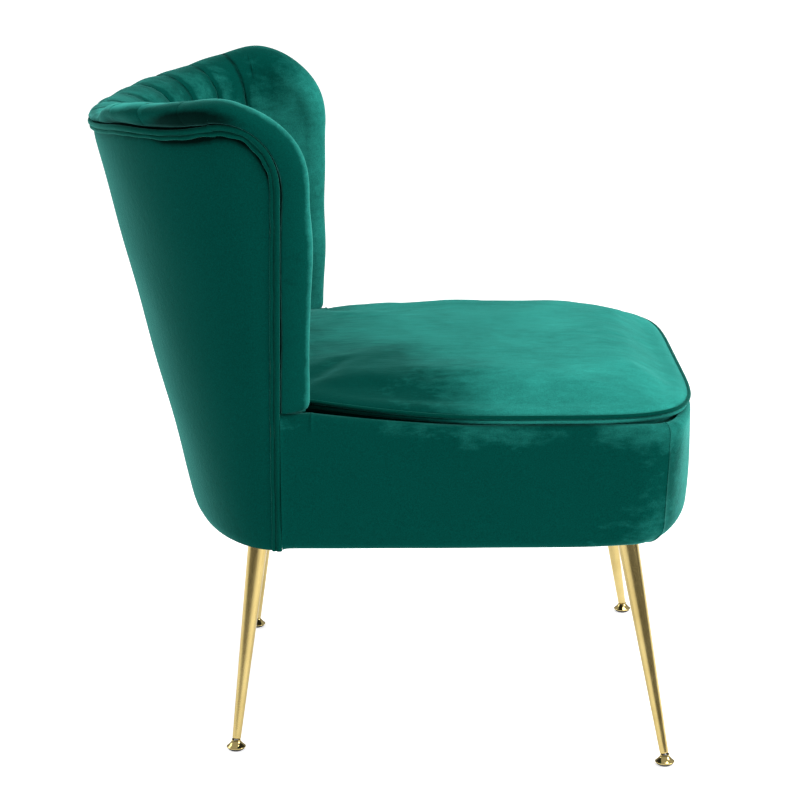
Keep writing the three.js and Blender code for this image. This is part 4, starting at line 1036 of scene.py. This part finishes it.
seam_run = run_at(-(base_front - seam_set_back))
side_run = run_at(wing_front + roll_reach_wing + welt_drop)
side_runs = np.linspace(seam_run + 0.4 * mm, side_run, 200)
make_base_panel("base_front_panel", np.linspace(-seam_run, seam_run, 220), 41)
make_base_panel("base_side_panel_left", side_runs, 42)
make_base_panel("base_side_panel_right", -side_runs, 43)

# %% [markdown]
# The seat cushion is sewn to fit its place. Its outline is a squared superellipse at the front
# that narrows between the wings and follows the channels at the rear. It is worked out for one
# half, mirrored, and cut into equal steps, so that the rings made from it have even faces.

# %% Cushion outline
cushion_half = half_width - 4 * mm
cushion_front_depth = 215.5 * mm
cushion_power = 5.2
piping_height = base_top + 9 * mm
cushion_crown = 36.5 * mm
cushion_middle = np.array([0, -(base_front - rear_reach) / 2])


def mirrored(x, y, count):
    """Closed outline of points in equal steps, from half of it, front middle to rear middle."""
    x, y = np.concatenate([x, -x[-2:0:-1]]), np.concatenate([y, y[-2:0:-1]])
    x, y = np.append(x, x[0]), np.append(y, y[0])
    length = np.concatenate([[0], np.hypot(np.diff(x), np.diff(y)).cumsum()])
    steps_at = np.linspace(0, length[-1], count, endpoint=False)
    return np.stack([np.interp(steps_at, length, x), np.interp(steps_at, length, y)], -1)


def cushion_outline():
    """Closed outline with its corners softened: front superellipse, tapering sides, rear that
    keeps clear of the channels."""
    widest = base_front - cushion_front_depth
    t = np.linspace(0, math.pi / 2, 200)
    front_x = cushion_half * np.sin(t) ** (2 / cushion_power)
    front_y = -widest - cushion_front_depth * np.cos(t).clip(0) ** (2 / cushion_power)
    inside = wall(wall_length(piping_height), piping_height, 2 * roll_radius + 0.3 * mm)
    s = np.linspace(0, 1, 60)[1:]
    side_x = cushion_half - (cushion_half - inside[0]) * s**1.7
    side_y = -widest + (wing_front + widest) * s
    s = np.linspace(0, 1, 120)[1:]
    depth = inner_depth(foot_at * (1 - s), 0.94) + channel_crown * ease(3 * s) + 3 * mm
    rear = wall(wall_length(piping_height) * (1 - s), piping_height, depth)
    x = np.concatenate([front_x, side_x, rear[:, 0]])
    y = np.concatenate([front_y, side_y, rear[:, 1]])
    points = mirrored(x, y, 420)
    kernel = np.hanning(15)
    kernel /= kernel.sum()
    wrapped = np.concatenate([points[-7:], points, points[:7]])
    return np.stack([np.convolve(wrapped[:, k], kernel, "valid") for k in (0, 1)], -1)


outline = cushion_outline()
outline_size = (outline.max(0) - outline.min(0)) / mm
print("cushion outline", outline_size.round(1), "mm")

# %% [markdown]
# The cushion is a crowned form, drawn in under its piping by a low border. Each ring is the
# outline shrunk a little more, first down the border and then over the crown. Painted light
# makes the velvet lighter toward the front, and painted shade makes it darker near the right
# wing and toward the rear.

# %% Cushion
cushion_rise = 0.72


def cushion_ring(scale, inset, height):
    """The outline shrunk toward the middle by a share and an inset, lifted with the base."""
    out = outline - cushion_middle
    reach = np.linalg.norm(out, axis=1)
    size = (reach * scale - inset) / reach
    flat = cushion_middle + out * size[:, None]
    lift = cushion_rise * seat_lift(outline[:, 1]) * scale**4
    return np.column_stack([flat, height + lift])


def make_cushion():
    """Rings from the floor of the cushion, up its border and over the crown."""
    foot = cushion_low.z
    border = base_top + 0.8 * mm
    # Share of the outline, inset and height of each ring.
    profile = [
        (1, 14 * mm, foot), (1, 12 * mm, border), (1, 6.0 * mm, border),
        (1, 4.2 * mm, border + 0.8 * mm), (1, 3.2 * mm, border + 3 * mm),
        (1, 3.4 * mm, border + 4.5 * mm), (1, 5.5 * mm, border + 5.6 * mm),
        (1, 6.4 * mm, piping_height), (1, 5.2 * mm, piping_height + 2.6 * mm),
    ]
    for share in 1 - np.linspace(0.004, 1, 46) ** 1.7 * 0.985:
        dome = (1 - share**3.2) ** 0.7
        height = piping_height + 1.5 * mm + (cushion_crown - 1.5 * mm) * dome
        profile.append((share, 4.6 * mm * share, height))
    rings = np.stack([cushion_ring(*p) for p in profile])
    crown_share = np.clip((rings[..., 2] - piping_height) / (18 * mm), 0, 1)
    rings[..., 2] -= 4 * mm * ease((rings[..., 1] + 90 * mm) / (130 * mm)) * crown_share
    made = closed_tube("seat_cushion_cover", rings)
    x, y, _ = vertices_of(made.data).T
    # Painted shade near the right wing and toward the rear, painted light toward the front.
    shade_by_wing = ease(1.3 - np.hypot((x + 235 * mm) / (185 * mm), (y - 30 * mm) / (150 * mm)))
    front, rear = ease((-y - 90 * mm) / (150 * mm)), ease((y + 60 * mm) / (230 * mm))
    set_painted_light(made, 0.86 + 0.22 * front - 0.72 * shade_by_wing - 0.62 * rear * (1 - shade_by_wing))
    return place(made, "velvet", ["seat_cushion"], fill=0.85)


cushion = make_cushion()

# %% [markdown]
# A stuffed top is never an even dome. Its copy is blown up as cloth, which gives the crown its
# uneven look, and the result is laid on the clean rings, so that the border and its seam stay
# sharp. The broad part of the swelling is left out, because the photograph sets the crown's
# height. The crown could be sculpted by hand too. Here the cloth's own slack shapes it.

# %% Cloth simulation
def simulated_rise(made, voxel=6 * mm):
    """Blender's cloth: a remeshed copy is blown up from inside for 20 frames, with 1.5% spare
    cloth. Gives each point's place before and how far it rose."""
    blown = bpy.data.objects.new("blown_cushion", made.data.copy())
    bpy.context.scene.collection.objects.link(blown)
    remesh = blown.modifiers.new("voxels", "REMESH")
    remesh.mode, remesh.voxel_size = "VOXEL", voxel
    graph = bpy.context.evaluated_depsgraph_get()
    blown_mesh = bpy.data.meshes.new_from_object(blown.evaluated_get(graph))
    blown.modifiers.clear()
    blown.data = blown_mesh
    before = vertices_of(blown_mesh)
    cloth_step = blown.modifiers.new("cloth", "CLOTH")
    settings = cloth_step.settings
    settings.quality = 5
    settings.use_pressure, settings.uniform_pressure_force = True, 4.0
    settings.effector_weights.gravity = 0
    settings.shrink_min = -0.015
    settings.bending_stiffness = 1.0
    cloth_step.point_cache.frame_start, cloth_step.point_cache.frame_end = 1, 20
    for number in range(1, 21):
        bpy.context.scene.frame_set(number)
    after = vertices_of(blown.evaluated_get(bpy.context.evaluated_depsgraph_get()).data)
    bpy.context.scene.frame_set(1)
    bpy.data.objects.remove(blown)
    return before, after[:, 2] - before[:, 2]


def blurred(field, times):
    """A grid of numbers, averaged with its neighbours a number of times."""
    for _ in range(times):
        wide = np.pad(field, 1, "edge")
        beside = wide[:-2, 1:-1] + wide[2:, 1:-1] + wide[1:-1, :-2] + wide[1:-1, 2:]
        field = (beside + 4 * field) / 8
    return field


def lay_rise(made, before, rise, cell=8 * mm, cap=7 * mm):
    """Lays the simulated rise on the clean rings of the crown. The rise of the top's points is
    averaged in cells of the plan. Its own broad swelling is taken off, the rest is capped and
    read between the cells."""
    top = before[:, 2] > piping_height + 3 * mm
    origin = before.min(0)[:2] - cell
    shape = ((before.max(0)[:2] - origin) / cell).astype(int) + 3
    at = np.round((before[top, :2] - origin) / cell).astype(int)
    total, count = np.zeros(shape), np.zeros(shape)
    np.add.at(total, (at[:, 0], at[:, 1]), rise[top])
    np.add.at(count, (at[:, 0], at[:, 1]), 1)
    fine, broad = (blurred(total, n) / np.maximum(blurred(count, n), 1e-3) for n in (2, 90))
    field = np.clip(fine - broad, -cap, cap)
    points = vertices_of(made.data)
    where = (points[:, :2] - origin) / cell
    i, j = np.clip(np.floor(where).astype(int), 0, shape - 2).T
    fx, fy = where[:, 0] - i, where[:, 1] - j
    value = field[i, j] * (1 - fx) * (1 - fy) + field[i + 1, j] * fx * (1 - fy)
    value = value + field[i, j + 1] * (1 - fx) * fy + field[i + 1, j + 1] * fx * fy
    border_top = piping_height + 5 * mm + cushion_rise * seat_lift(points[:, 1])
    moved = value * ease((points[:, 2] - border_top) / (16 * mm))
    points[:, 2] += moved
    made.data.vertices.foreach_set("co", points.ravel())
    made.data.update()
    print(f"cloth moved the crown by {moved.min() / mm:.1f} to {moved.max() / mm:.1f} mm")


lay_rise(cushion, *simulated_rise(cushion))

# %% [markdown]
# Piping is a cord in a strip of velvet, sewn in along the cushion's widest line. It is a
# circle carried along that ring, upright on it at each point.

# %% Piping
def make_piping():
    """A cord of 4.8 mm round the cushion's widest line."""
    radius = 2.4 * mm
    centre = cushion_ring(1, 2.6 * mm, piping_height)
    ahead = np.roll(centre, -1, 0) - np.roll(centre, 1, 0)
    ahead /= np.linalg.norm(ahead, axis=1)[:, None]
    side = np.cross(ahead, [0, 0, 1])
    side /= np.linalg.norm(side, axis=1)[:, None]
    upward = np.cross(side, ahead)
    angle = np.linspace(0, 2 * math.pi, 14, endpoint=False)[None, :, None]
    round_cord = side[:, None] * np.cos(angle) + upward[:, None] * np.sin(angle)
    rings = centre[:, None] + radius * round_cord
    place(closed_tube("piping", rings, loop=True), "velvet_trim", ["cushion_piping"])


make_piping()

# %% [markdown]
# Under the cushion lies a felt pad on the springs, and over it a platform cloth of the same
# velvet that is stapled to the rails, with a facing strip beside each wing. They hide the wood
# where the cushion leaves a gap. Both layers are rings of one outline, from the middle of the
# underside out, up the edge and back.

# %% Felt, platform cloth and facings
def rail_outline(inset_front, depth_rear, z, curve=foot_curve):
    """Closed outline inside the base's front and sides and the back's wall."""
    run = np.linspace(0, run_at(wing_front), 200)
    front_x, front_y = base_place(curve, run, inset_front)
    rear = wall(wall_length(z) * np.linspace(1, 0, 120), z, depth_rear)
    rear = rear[rear[:, 1] > wing_front]
    x, y = np.concatenate([front_x, rear[:, 0]]), np.concatenate([front_y, rear[:, 1]])
    return mirrored(x, y, 240)


def layer(name, line, bottom, top, rounding):
    """A level layer between two heights, its edge rounded."""
    middle = line.mean(0)
    out = np.linspace(0.02, 0.97, 24)
    shares = np.concatenate([out, [1.0, 1.0], out[::-1]])
    edges = [bottom + rounding, top - rounding]
    heights = np.concatenate([np.full(24, bottom), edges, np.full(24, top)])
    rings = [
        np.column_stack([middle + (line - middle) * share, np.full(len(line), z)])
        for share, z in zip(shares, heights)
    ]
    return closed_tube(name, np.stack(rings))


deck_low, deck_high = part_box("deck_pad")
rail_depth = 32 * mm
felt_line = rail_outline(9 * mm, rail_depth, 390 * mm)
felt_pad = layer("deck_felt", felt_line, deck_low.z, deck_high.z - 0.9 * mm, 1 * mm)
place(felt_pad, "felt", ["deck_pad"], fill=0.9)
platform_line = rail_outline(12.6 * mm, rail_depth, 390 * mm, curve=top_curve)
platform_low, platform_high = deck_high.z - 0.7 * mm, deck_high.z + 0.1 * mm
platform = layer("platform_cloth", platform_line, platform_low, platform_high, 0.2 * mm)
place(platform, "velvet_trim")


def make_facing(side, name):
    """A velvet strip over the rail beside the cushion, from under the base's edge down to the
    platform, and on under the wing's foot: inset across, run along."""
    runs = np.linspace(run_at(-190 * mm), run_at(wing_front + 26 * mm), 90)[:, None]
    across = np.linspace(0, 1, 24)[None, :]
    x, y = base_place(top_curve, runs, 8 * mm + 46 * mm * across)
    top = base_top + 0.9 * seat_lift(y) - 2.5 * mm
    z = top + (deck_high.z + 0.6 * mm - top) * ease(across * 1.1)
    skin = np.stack([side * x, y, z], -1)
    skin = skin + [0, 0, 0.4 * mm] * waves(skin, 40 * mm, 51)[..., None]
    place(closed_panel(name, skin, skin - [0, 0, 1.6 * mm]), "velvet_trim", fill=0.9)


make_facing(-1, "facing_right")
make_facing(1, "facing_left")

# %% [markdown]
# Elastic bands carry the padding of the back: five upright ones and a level one, woven over
# and under each other. Each is two grids on the wall, moved in and out where they cross, so
# that no band runs through another.

# %% Webbing of the back
band_half = 19 * mm
band_depth = 29.7 * mm
band_shares = (-0.5, -0.25, 0, 0.25, 0.5)
band_foot = 440 * mm
band_ends = 62 * mm
weave_depth = 1.1 * mm
cross_middle = band_foot + 0.43 * (718 * mm - band_foot) + band_half
band_across = np.linspace(-band_half, band_half, 9)[None, :]


def over_under(number):
    """-1 for the bands that pass outside the level one, 1 for those that pass inside it."""
    return 1 if number % 2 else -1


def band(name, run, z, weave):
    """A band of 1.4 mm: its two faces are grids on the wall, moved in and out by the weave."""
    skin = wall(run, z, band_depth + weave - 0.7 * mm)
    lining = wall(run, z, band_depth + weave + 0.7 * mm)
    return place(closed_panel(name, skin, lining), "webbing")


for number, share in enumerate(band_shares):
    band_top = back_height - 39 * mm + 10 * mm * abs(share)
    z = np.linspace(band_foot, band_top, 60)[:, None]
    at_cross = np.exp(-(((z - cross_middle) / (24 * mm)) ** 2))
    weave = over_under(number) * weave_depth * at_cross
    made = band(f"webbing_band_{number + 1}", share * wall_length(z) + band_across,
                z + 0 * band_across, weave)
    if number == 0:
        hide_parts("back_webbing")
shares = np.linspace(-1, 1, 160)[:, None]
z = band_across + cross_middle
run = shares * (wall_length(z) - band_ends)
at = shares * (1 - band_ends / wall_length(cross_middle))
under = sum(over_under(n) * np.exp(-(((at - b) / 0.07) ** 2)) for n, b in enumerate(band_shares))
band("webbing_cross_band", run, z + 0 * shares, -weave_depth * under)

# %% [markdown]
# The dust cover is bonded black cloth, stretched under the rails, turned in at its border and
# stapled. Its grid is a triangulation, so that the four holes for the legs can be left out.
# A Boolean could cut them afterwards. Left out of the grid, each hole keeps its own ring of
# points.

# %% Dust cover
from mathutils.geometry import delaunay_2d_cdt

leg_leans = {
    "front_right": (0.237, 0.171), "front_left": (-0.237, 0.171),
    "rear_right": (0.2, -0.12), "rear_left": (-0.2, -0.12),
}
ball_height = 9.6 * mm
dust_low, dust_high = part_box("dust_cover")


def leg_place(name):
    """Middle of the ball, from the glide pad's box, and the leg's direction, as its lean for
    each unit of height."""
    low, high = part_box(f"glide_pad_{name}")
    foot = np.array([(low.x + high.x) / 2, (low.y + high.y) / 2, ball_height])
    return foot, np.array([*leg_leans[name], 1])


def leg_hole(name):
    """Circle of 33 mm where the leg goes through the cloth."""
    foot, lean = leg_place(name)
    top = foot + lean * (270 * mm - ball_height)
    angle = np.linspace(0, 2 * math.pi, 36, endpoint=False)
    radius = 16.5 * mm
    return np.column_stack([top[0] + radius * np.cos(angle), top[1] + radius * np.sin(angle)])


def inside(points, line):
    """Which points lie in a closed line: an odd number of its sides lies to their right."""
    x, y = points[:, 0][:, None], points[:, 1][:, None]
    after = np.roll(line, -1, 0)
    crosses = (line[:, 1] > y) != (after[:, 1] > y)
    with np.errstate(divide="ignore", invalid="ignore"):
        at = line[:, 0] + (y - line[:, 1]) / (after[:, 1] - line[:, 1]) * (after[:, 0] - line[:, 0])
    return (crosses & (x < at)).sum(1) % 2 == 1


def cut_cloth(line, holes):
    """Points and triangles of the flat cloth, a grid of 12 mm between the border and the holes,
    and the edges that only one triangle has."""
    across = np.arange(-300, 301, 12) * mm
    spots = np.stack(np.meshgrid(across, across + 5 * mm), -1).reshape(-1, 2)
    middle = line.mean(0)
    spots = spots[inside(spots, middle + (line - middle) * 0.975)]
    for hole in holes:
        spots = spots[np.linalg.norm(spots - hole.mean(0), axis=1) > 21 * mm]
    edges, start = [], 0
    for loop in [line] + holes:
        edges += [(start + i, start + (i + 1) % len(loop)) for i in range(len(loop))]
        start += len(loop)
    points = [Vector(p) for p in np.concatenate([line] + holes + [spots])]
    result = delaunay_2d_cdt(points, edges, [], 0, 1e-7)
    flat = np.array([tuple(v) for v in result[0]])
    triangles = np.array([tuple(f) for f in result[2]])
    centres = flat[triangles].mean(1)
    keep = inside(centres, line)
    for hole in holes:
        keep &= ~inside(centres, hole)
    triangles = triangles[keep]
    sides = np.concatenate([triangles[:, [0, 1]], triangles[:, [1, 2]], triangles[:, [2, 0]]])
    found = np.unique(np.sort(sides, 1), axis=0, return_inverse=True, return_counts=True)
    return flat, triangles, sides[found[2][found[1].ravel()] == 1]


def make_dust_cover():
    """Two faces 0.9 mm apart, sagging 4 mm between the rails, with round holes."""
    line = rail_outline(9 * mm, 9 * mm, dust_low.z)
    holes = [leg_hole(name) for name in leg_leans]
    flat, triangles, border = cut_cloth(line, holes)
    held = [line] + holes
    reach = np.min([np.linalg.norm(flat[:, None] - loop, axis=-1).min(1) for loop in held], 0)
    crumple = 0.25 * mm * waves(np.column_stack([flat, 0 * reach]), 60 * mm, 3)
    sag = 4 * mm * ease((reach - 25 * mm) / (110 * mm)) + crumple
    top = np.column_stack([flat, dust_high.z - 0.3 * mm - np.maximum(sag, 0)])
    points = np.concatenate([top, top - [0, 0, 0.9 * mm]])
    under = border + len(flat)
    walls = np.column_stack([border[:, ::-1], under])
    faces = outward(points, [triangles, triangles[:, ::-1] + len(flat), walls])
    made = place(mesh_object("dust_cloth", points, faces), "black_cloth", ["dust_cover"])
    return line


dust_line = make_dust_cover()

# %% [markdown]
# The legs are tapered tubes of brass-plated steel on round plates, screwed up into the corner
# blocks. Such a tube is turned or drawn, so it is a turned profile here too: a radius for each
# height, carried round an axis, and then stood on the ball and leaned.

# %% Legs
def turned(name, profile, sides=64):
    """A turned body about +Z from (radius, height) pairs, closed at both ends."""
    angle = np.linspace(0, 2 * math.pi, sides, endpoint=False)
    radius, height = np.array(profile).T[..., None]
    rings = np.stack([radius * np.cos(angle), radius * np.sin(angle), height + 0 * angle], -1)
    return closed_tube(name, rings)


def stand(made, foot, lean):
    """Turns a body that was made upright so that it stands on the ball and leans with the leg."""
    turn_to = Vector((0, 0, 1)).rotation_difference(Vector(lean)).to_matrix().to_4x4()
    turn_to.translation = Vector(foot)
    made.data.transform(turn_to)
    return made


def shifted(made, x, y):
    """Moves an upright body to its place in the plan."""
    made.data.transform(Matrix.Translation((x, y, 0)))
    return made


plate_top = 274 * mm
plate_rim = 27 * mm
screw_circle = 20 * mm
tube_start = 13.55 * mm
tube_bore = 2.9 * mm
tube_bottom_radius = 5 * mm
tube_top_radius = 12.6 * mm


def make_tube(name, foot, lean):
    """The leaning tube: a rounded lower end with a bore, and a radius that grows evenly."""
    reach = np.linalg.norm(lean)
    start, end = (tube_start - ball_height) * reach, (plate_top - ball_height) * reach
    tube = [
        (tube_bore, start + 20 * mm), (tube_bore, start + 0.3 * mm),
        (tube_bottom_radius - 0.6 * mm, start), (tube_bottom_radius, start + 0.6 * mm),
    ]
    growth = tube_top_radius - tube_bottom_radius
    for h in np.linspace(start + 1.5 * mm, end, 24):
        tube.append((tube_bottom_radius + growth * (h - start) / (end - start), h))
    tube.append((tube_top_radius * 0.5, end + 0.5 * mm))
    made = stand(turned(f"leg_tube_{name}", tube), foot, lean)
    place(made, "gold_metal", [f"leg_{name}"])


def make_leg(name):
    """Tube, level plate and four screws with domed heads and a dimple."""
    foot, lean = leg_place(name)
    make_tube(name, foot, lean)
    top = foot + lean * (plate_top - ball_height)
    plate = turned(f"leg_plate_{name}", [
        (12 * mm, plate_top - 2.9 * mm), (plate_rim - 0.4 * mm, plate_top - 3 * mm),
        (plate_rim, plate_top - 2.6 * mm), (plate_rim, plate_top - 0.4 * mm),
        (plate_rim - 0.4 * mm, plate_top), (12 * mm, plate_top - 0.1 * mm),
    ])
    place(shifted(plate, top[0], top[1]), "gold_metal")
    head = plate_top - 4.4 * mm
    for number in range(4):
        screw = turned(f"plate_screw_{name}_{number + 1}", [
            (0.4 * mm, head + 0.9 * mm), (1.3 * mm, head + 0.5 * mm), (1.9 * mm, head),
            (3.3 * mm, head + 0.2 * mm), (3.9 * mm, head + 0.9 * mm), (3.9 * mm, head + 1.2 * mm),
            (1.9 * mm, head + 2.2 * mm), (1.9 * mm, plate_top + 17 * mm),
            (0.3 * mm, plate_top + 21 * mm),
        ], sides=24)
        angle = math.pi / 4 + number * math.pi / 2
        x, y = top[0] + screw_circle * math.cos(angle), top[1] + screw_circle * math.sin(angle)
        place(shifted(screw, x, y), "stem_steel")


print("leg tubes of", tube_bottom_radius / mm, "to", tube_top_radius / mm, "mm radius")

# %% [markdown]
# Each leg stands on a level glide: a polished cone that turns on a ball, with a rubber pad let
# into it. The ball's stem screws into the leg. The cone and pad stay level, so they are turned
# bodies moved to their place, and the stem leans with the leg.

# %% Glides
def make_glide(name):
    """Cone, pad and ball stem of one glide, in millimetres of radius and height."""
    foot, lean = leg_place(name)
    flare = [(5.1 + 5.8 * (1 - f) ** 1.7, 5.1 + 7.7 * f) for f in np.linspace(0, 1, 12)]
    cone = [
        (6.9, 4.2), (10.6, 4.0), (11.1, 3.9), (11.3, 4.4), (11.1, 4.9), *flare,
        (4.9, 13.2), (4.5, 13.1), (4.1, 12.0), (4.0, 9.6), (4.0, 6.0),
    ]
    pad = [
        (6.3, 0), (7.4, 0.3), (8.9, 1.2), (10.1, 2.5), (10.5, 3.5), (10.4, 3.9), (6.8, 4.1),
        (6.4, 4.3),
    ]
    angles = np.linspace(math.pi, 0.72, 18)
    ball = [(3.6 * max(math.sin(a), 0.05), 3.6 * math.cos(a)) for a in angles]
    stem = ball + [(2.4, 4), (2.4, 33), (1.6, 34)]
    level_parts = (
        ("glide_cone_shell", cone, "glide_cone", "gold_metal", "gold_polished"),
        ("glide_foot_pad", pad, "glide_pad", "rubber", None),
    )
    for title, profile, node, slot, finish in level_parts:
        made = shifted(turned(f"{title}_{name}", np.array(profile) * mm), foot[0], foot[1])
        place(made, slot, [f"{node}_{name}"], body=f"foot_{name}", finish=finish)
    made = stand(turned(f"ball_stem_{name}", np.array(stem) * mm), foot, lean)
    place(made, "stem_steel", [f"glide_stem_{name}"], body=f"stem_{name}")


for leg_name in leg_leans:
    make_leg(leg_name)
    make_glide(leg_name)

# %% [markdown]
# The cloth is stapled a little inside its border, here every 38 mm, which is a guess. One small
# bar of eight corners is enough for each staple, and all of them are one mesh.

# %% Staples
def make_staples(line):
    """Square bars along the border: corner = centre ± half length ahead ± half width inward."""
    closed = np.vstack([line, line[:1]])
    length = np.concatenate([[0], np.linalg.norm(np.diff(closed, axis=0), axis=1).cumsum()])
    marks = np.arange(0, length[-1] - 20 * mm, 38 * mm)
    at, ahead = (
        np.column_stack([np.interp(marks + step, length, closed[:, k]) for k in (0, 1)])
        for step in (0, 1 * mm)
    )
    ahead = ahead - at
    ahead /= np.linalg.norm(ahead, axis=1)[:, None]
    inward = np.column_stack([-ahead[:, 1], ahead[:, 0]])
    inward *= np.sign(((line.mean(0) - at) * inward).sum(1))[:, None]
    corner = np.array([[a, b, c] for c in (0, 1) for a, b in ((-1, -1), (1, -1), (1, 1), (-1, 1))])
    half_long, half_wide = 5 * mm, 0.45 * mm
    points = np.zeros((len(marks), 8, 3))
    points[:, :, :2] = (at + 6 * mm * inward)[:, None]
    points[:, :, :2] += corner[:, :1] * half_long * ahead[:, None]
    points[:, :, :2] += corner[:, 1:2] * half_wide * inward[:, None]
    points[:, :, 2] = dust_high.z - 1.2 * mm - 0.9 * mm * (1 - corner[:, 2])
    sides = [[i, (i + 1) % 4, (i + 1) % 4 + 4, i + 4] for i in range(4)]
    box = np.array([[0, 3, 2, 1], [4, 5, 6, 7], *sides])
    faces = (box[None] + 8 * np.arange(len(marks))[:, None, None]).reshape(-1, 4)
    points = points.reshape(-1, 3)
    place(mesh_object("staples", points, outward(points, [faces]), 30), "stem_steel")


make_staples(dust_line)

# %% [markdown]
# What is left of the frame keeps its own solids and gets its finish: rails, posts, blocks and
# springs. They are hard parts with plain faces, so they weren't made again.

# %% Finishes of the inner frame
slots = {entry["node"]: entry["material_slot"] for entry in frame["record"]["subparts"]}
for node_name, node in frame["nodes"].items():
    node.data.materials.clear()
    node.data.materials.append(finishes[slots[node_name]])
print(len(slots), "nodes have a finish")

# %% [markdown]
# The photograph was taken from the chair's right side, a little above it, with a long lens. The
# four glides on the level floor and the level edge of the base gave its place and its tilt.

# %% Camera
scene = bpy.context.scene
camera_data = bpy.data.cameras.new("camera")
camera_data.lens = 108
camera_data.sensor_width = 36
camera = bpy.data.objects.new("camera", camera_data)
camera.location = (-2.827, -0.012, 1.073)
pitch, roll = math.radians(14.07), math.radians(0.35)
look = Vector((math.cos(pitch), 0, -math.sin(pitch)))
upright = look.to_track_quat("-Z", "Y")
camera.rotation_euler = (Quaternion(look, roll) @ upright).to_euler()
scene.collection.objects.link(camera)
scene.camera = camera
print("camera", round(camera.location.length, 2), "m away, lens", camera_data.lens, "mm")

# %% [markdown]
# A painted studio floor is nearly white. It glows a little, so that it is as pale as the
# picture's ground and the chair still has its soft shadow on it.

# %% Floor
floor_half = 20
floor_corners = np.array([[-1, -1, 0], [1, -1, 0], [1, 1, 0], [-1, 1, 0]]) * floor_half
floor = mesh_object("floor", floor_corners, [np.array([[0, 1, 2, 3]])])
floor_material, floor_tree, floor_shader, _ = new_material("painted_studio_floor")
speckle = add(floor_tree, "ShaderNodeTexNoise", Scale=3.0).outputs["Fac"]
paint = ramp(floor_tree, speckle, [(0.3, "#f4f4f4"), (0.7, "#f7f7f7")])
floor_tree.links.new(paint, floor_shader.inputs["Base Color"])
floor_shader.inputs["Roughness"].default_value = 0.7
floor_shader.inputs["Emission Color"].default_value = linear("#ffffff")
floor_shader.inputs["Emission Strength"].default_value = 0.7
floor.data.materials.append(floor_material)
print("floor", 2 * floor_half, "m across")

# %% [markdown]
# Three softboxes light the chair: one above, a strong one before it and a weak one behind it.
# The velvet's front turns light, and its side stays dark. The sky is what the metal mirrors. To
# the camera alone it is plain white.

# %% Lights and sky
def softbox(name, place_at, look_at, size, power):
    """A square area light that faces a point."""
    data = bpy.data.lights.new(name, "AREA")
    data.size = size
    data.energy = power
    lamp = bpy.data.objects.new(name, data)
    lamp.location = place_at
    lamp.rotation_euler = (Vector(look_at) - Vector(place_at)).to_track_quat("-Z", "Y").to_euler()
    scene.collection.objects.link(lamp)


softbox("top_softbox", (-0.2, -0.9, 2.8), (0, -0.1, 0.4), 1.6, 44)
softbox("front_softbox", (-1.1, -3.0, 1.7), (0, 0, 0.4), 1.6, 55)
softbox("rear_softbox", (0.8, 3.0, 1.9), (0, 0, 0.4), 1.6, 22)

sky_strength = 0.62
backdrop_strength = 1.3
world = bpy.data.worlds.new("studio")
scene.world = world
world.use_nodes = True
sky = world.node_tree
background = sky.nodes["Background"]
direction = add(sky, "ShaderNodeTexCoord").outputs["Generated"]
parts = add(sky, "ShaderNodeSeparateXYZ", i0=direction)
shade = ramp(sky, parts.outputs["Z"], [(0.0, "#5a5a5a"), (0.12, "#a8a8a8"), (0.5, "#f4f4f4")])
sky.links.new(shade, background.inputs["Color"])
background.inputs["Strength"].default_value = sky_strength
backdrop = add(sky, "ShaderNodeBackground", Color=(1, 1, 1, 1), Strength=backdrop_strength)
seen = add(sky, "ShaderNodeLightPath").outputs["Is Camera Ray"]
both = {"i1": background.outputs[0], "i2": backdrop.outputs[0]}
choice = add(sky, "ShaderNodeMixShader", i0=seen, **both)
sky.links.new(choice.outputs[0], sky.nodes["World Output"].inputs["Surface"])
scene.view_settings.view_transform = "Standard"
lamps = [thing for thing in scene.objects if thing.type == "LIGHT"]
print(len(lamps), "softboxes under a sky of", sky_strength)
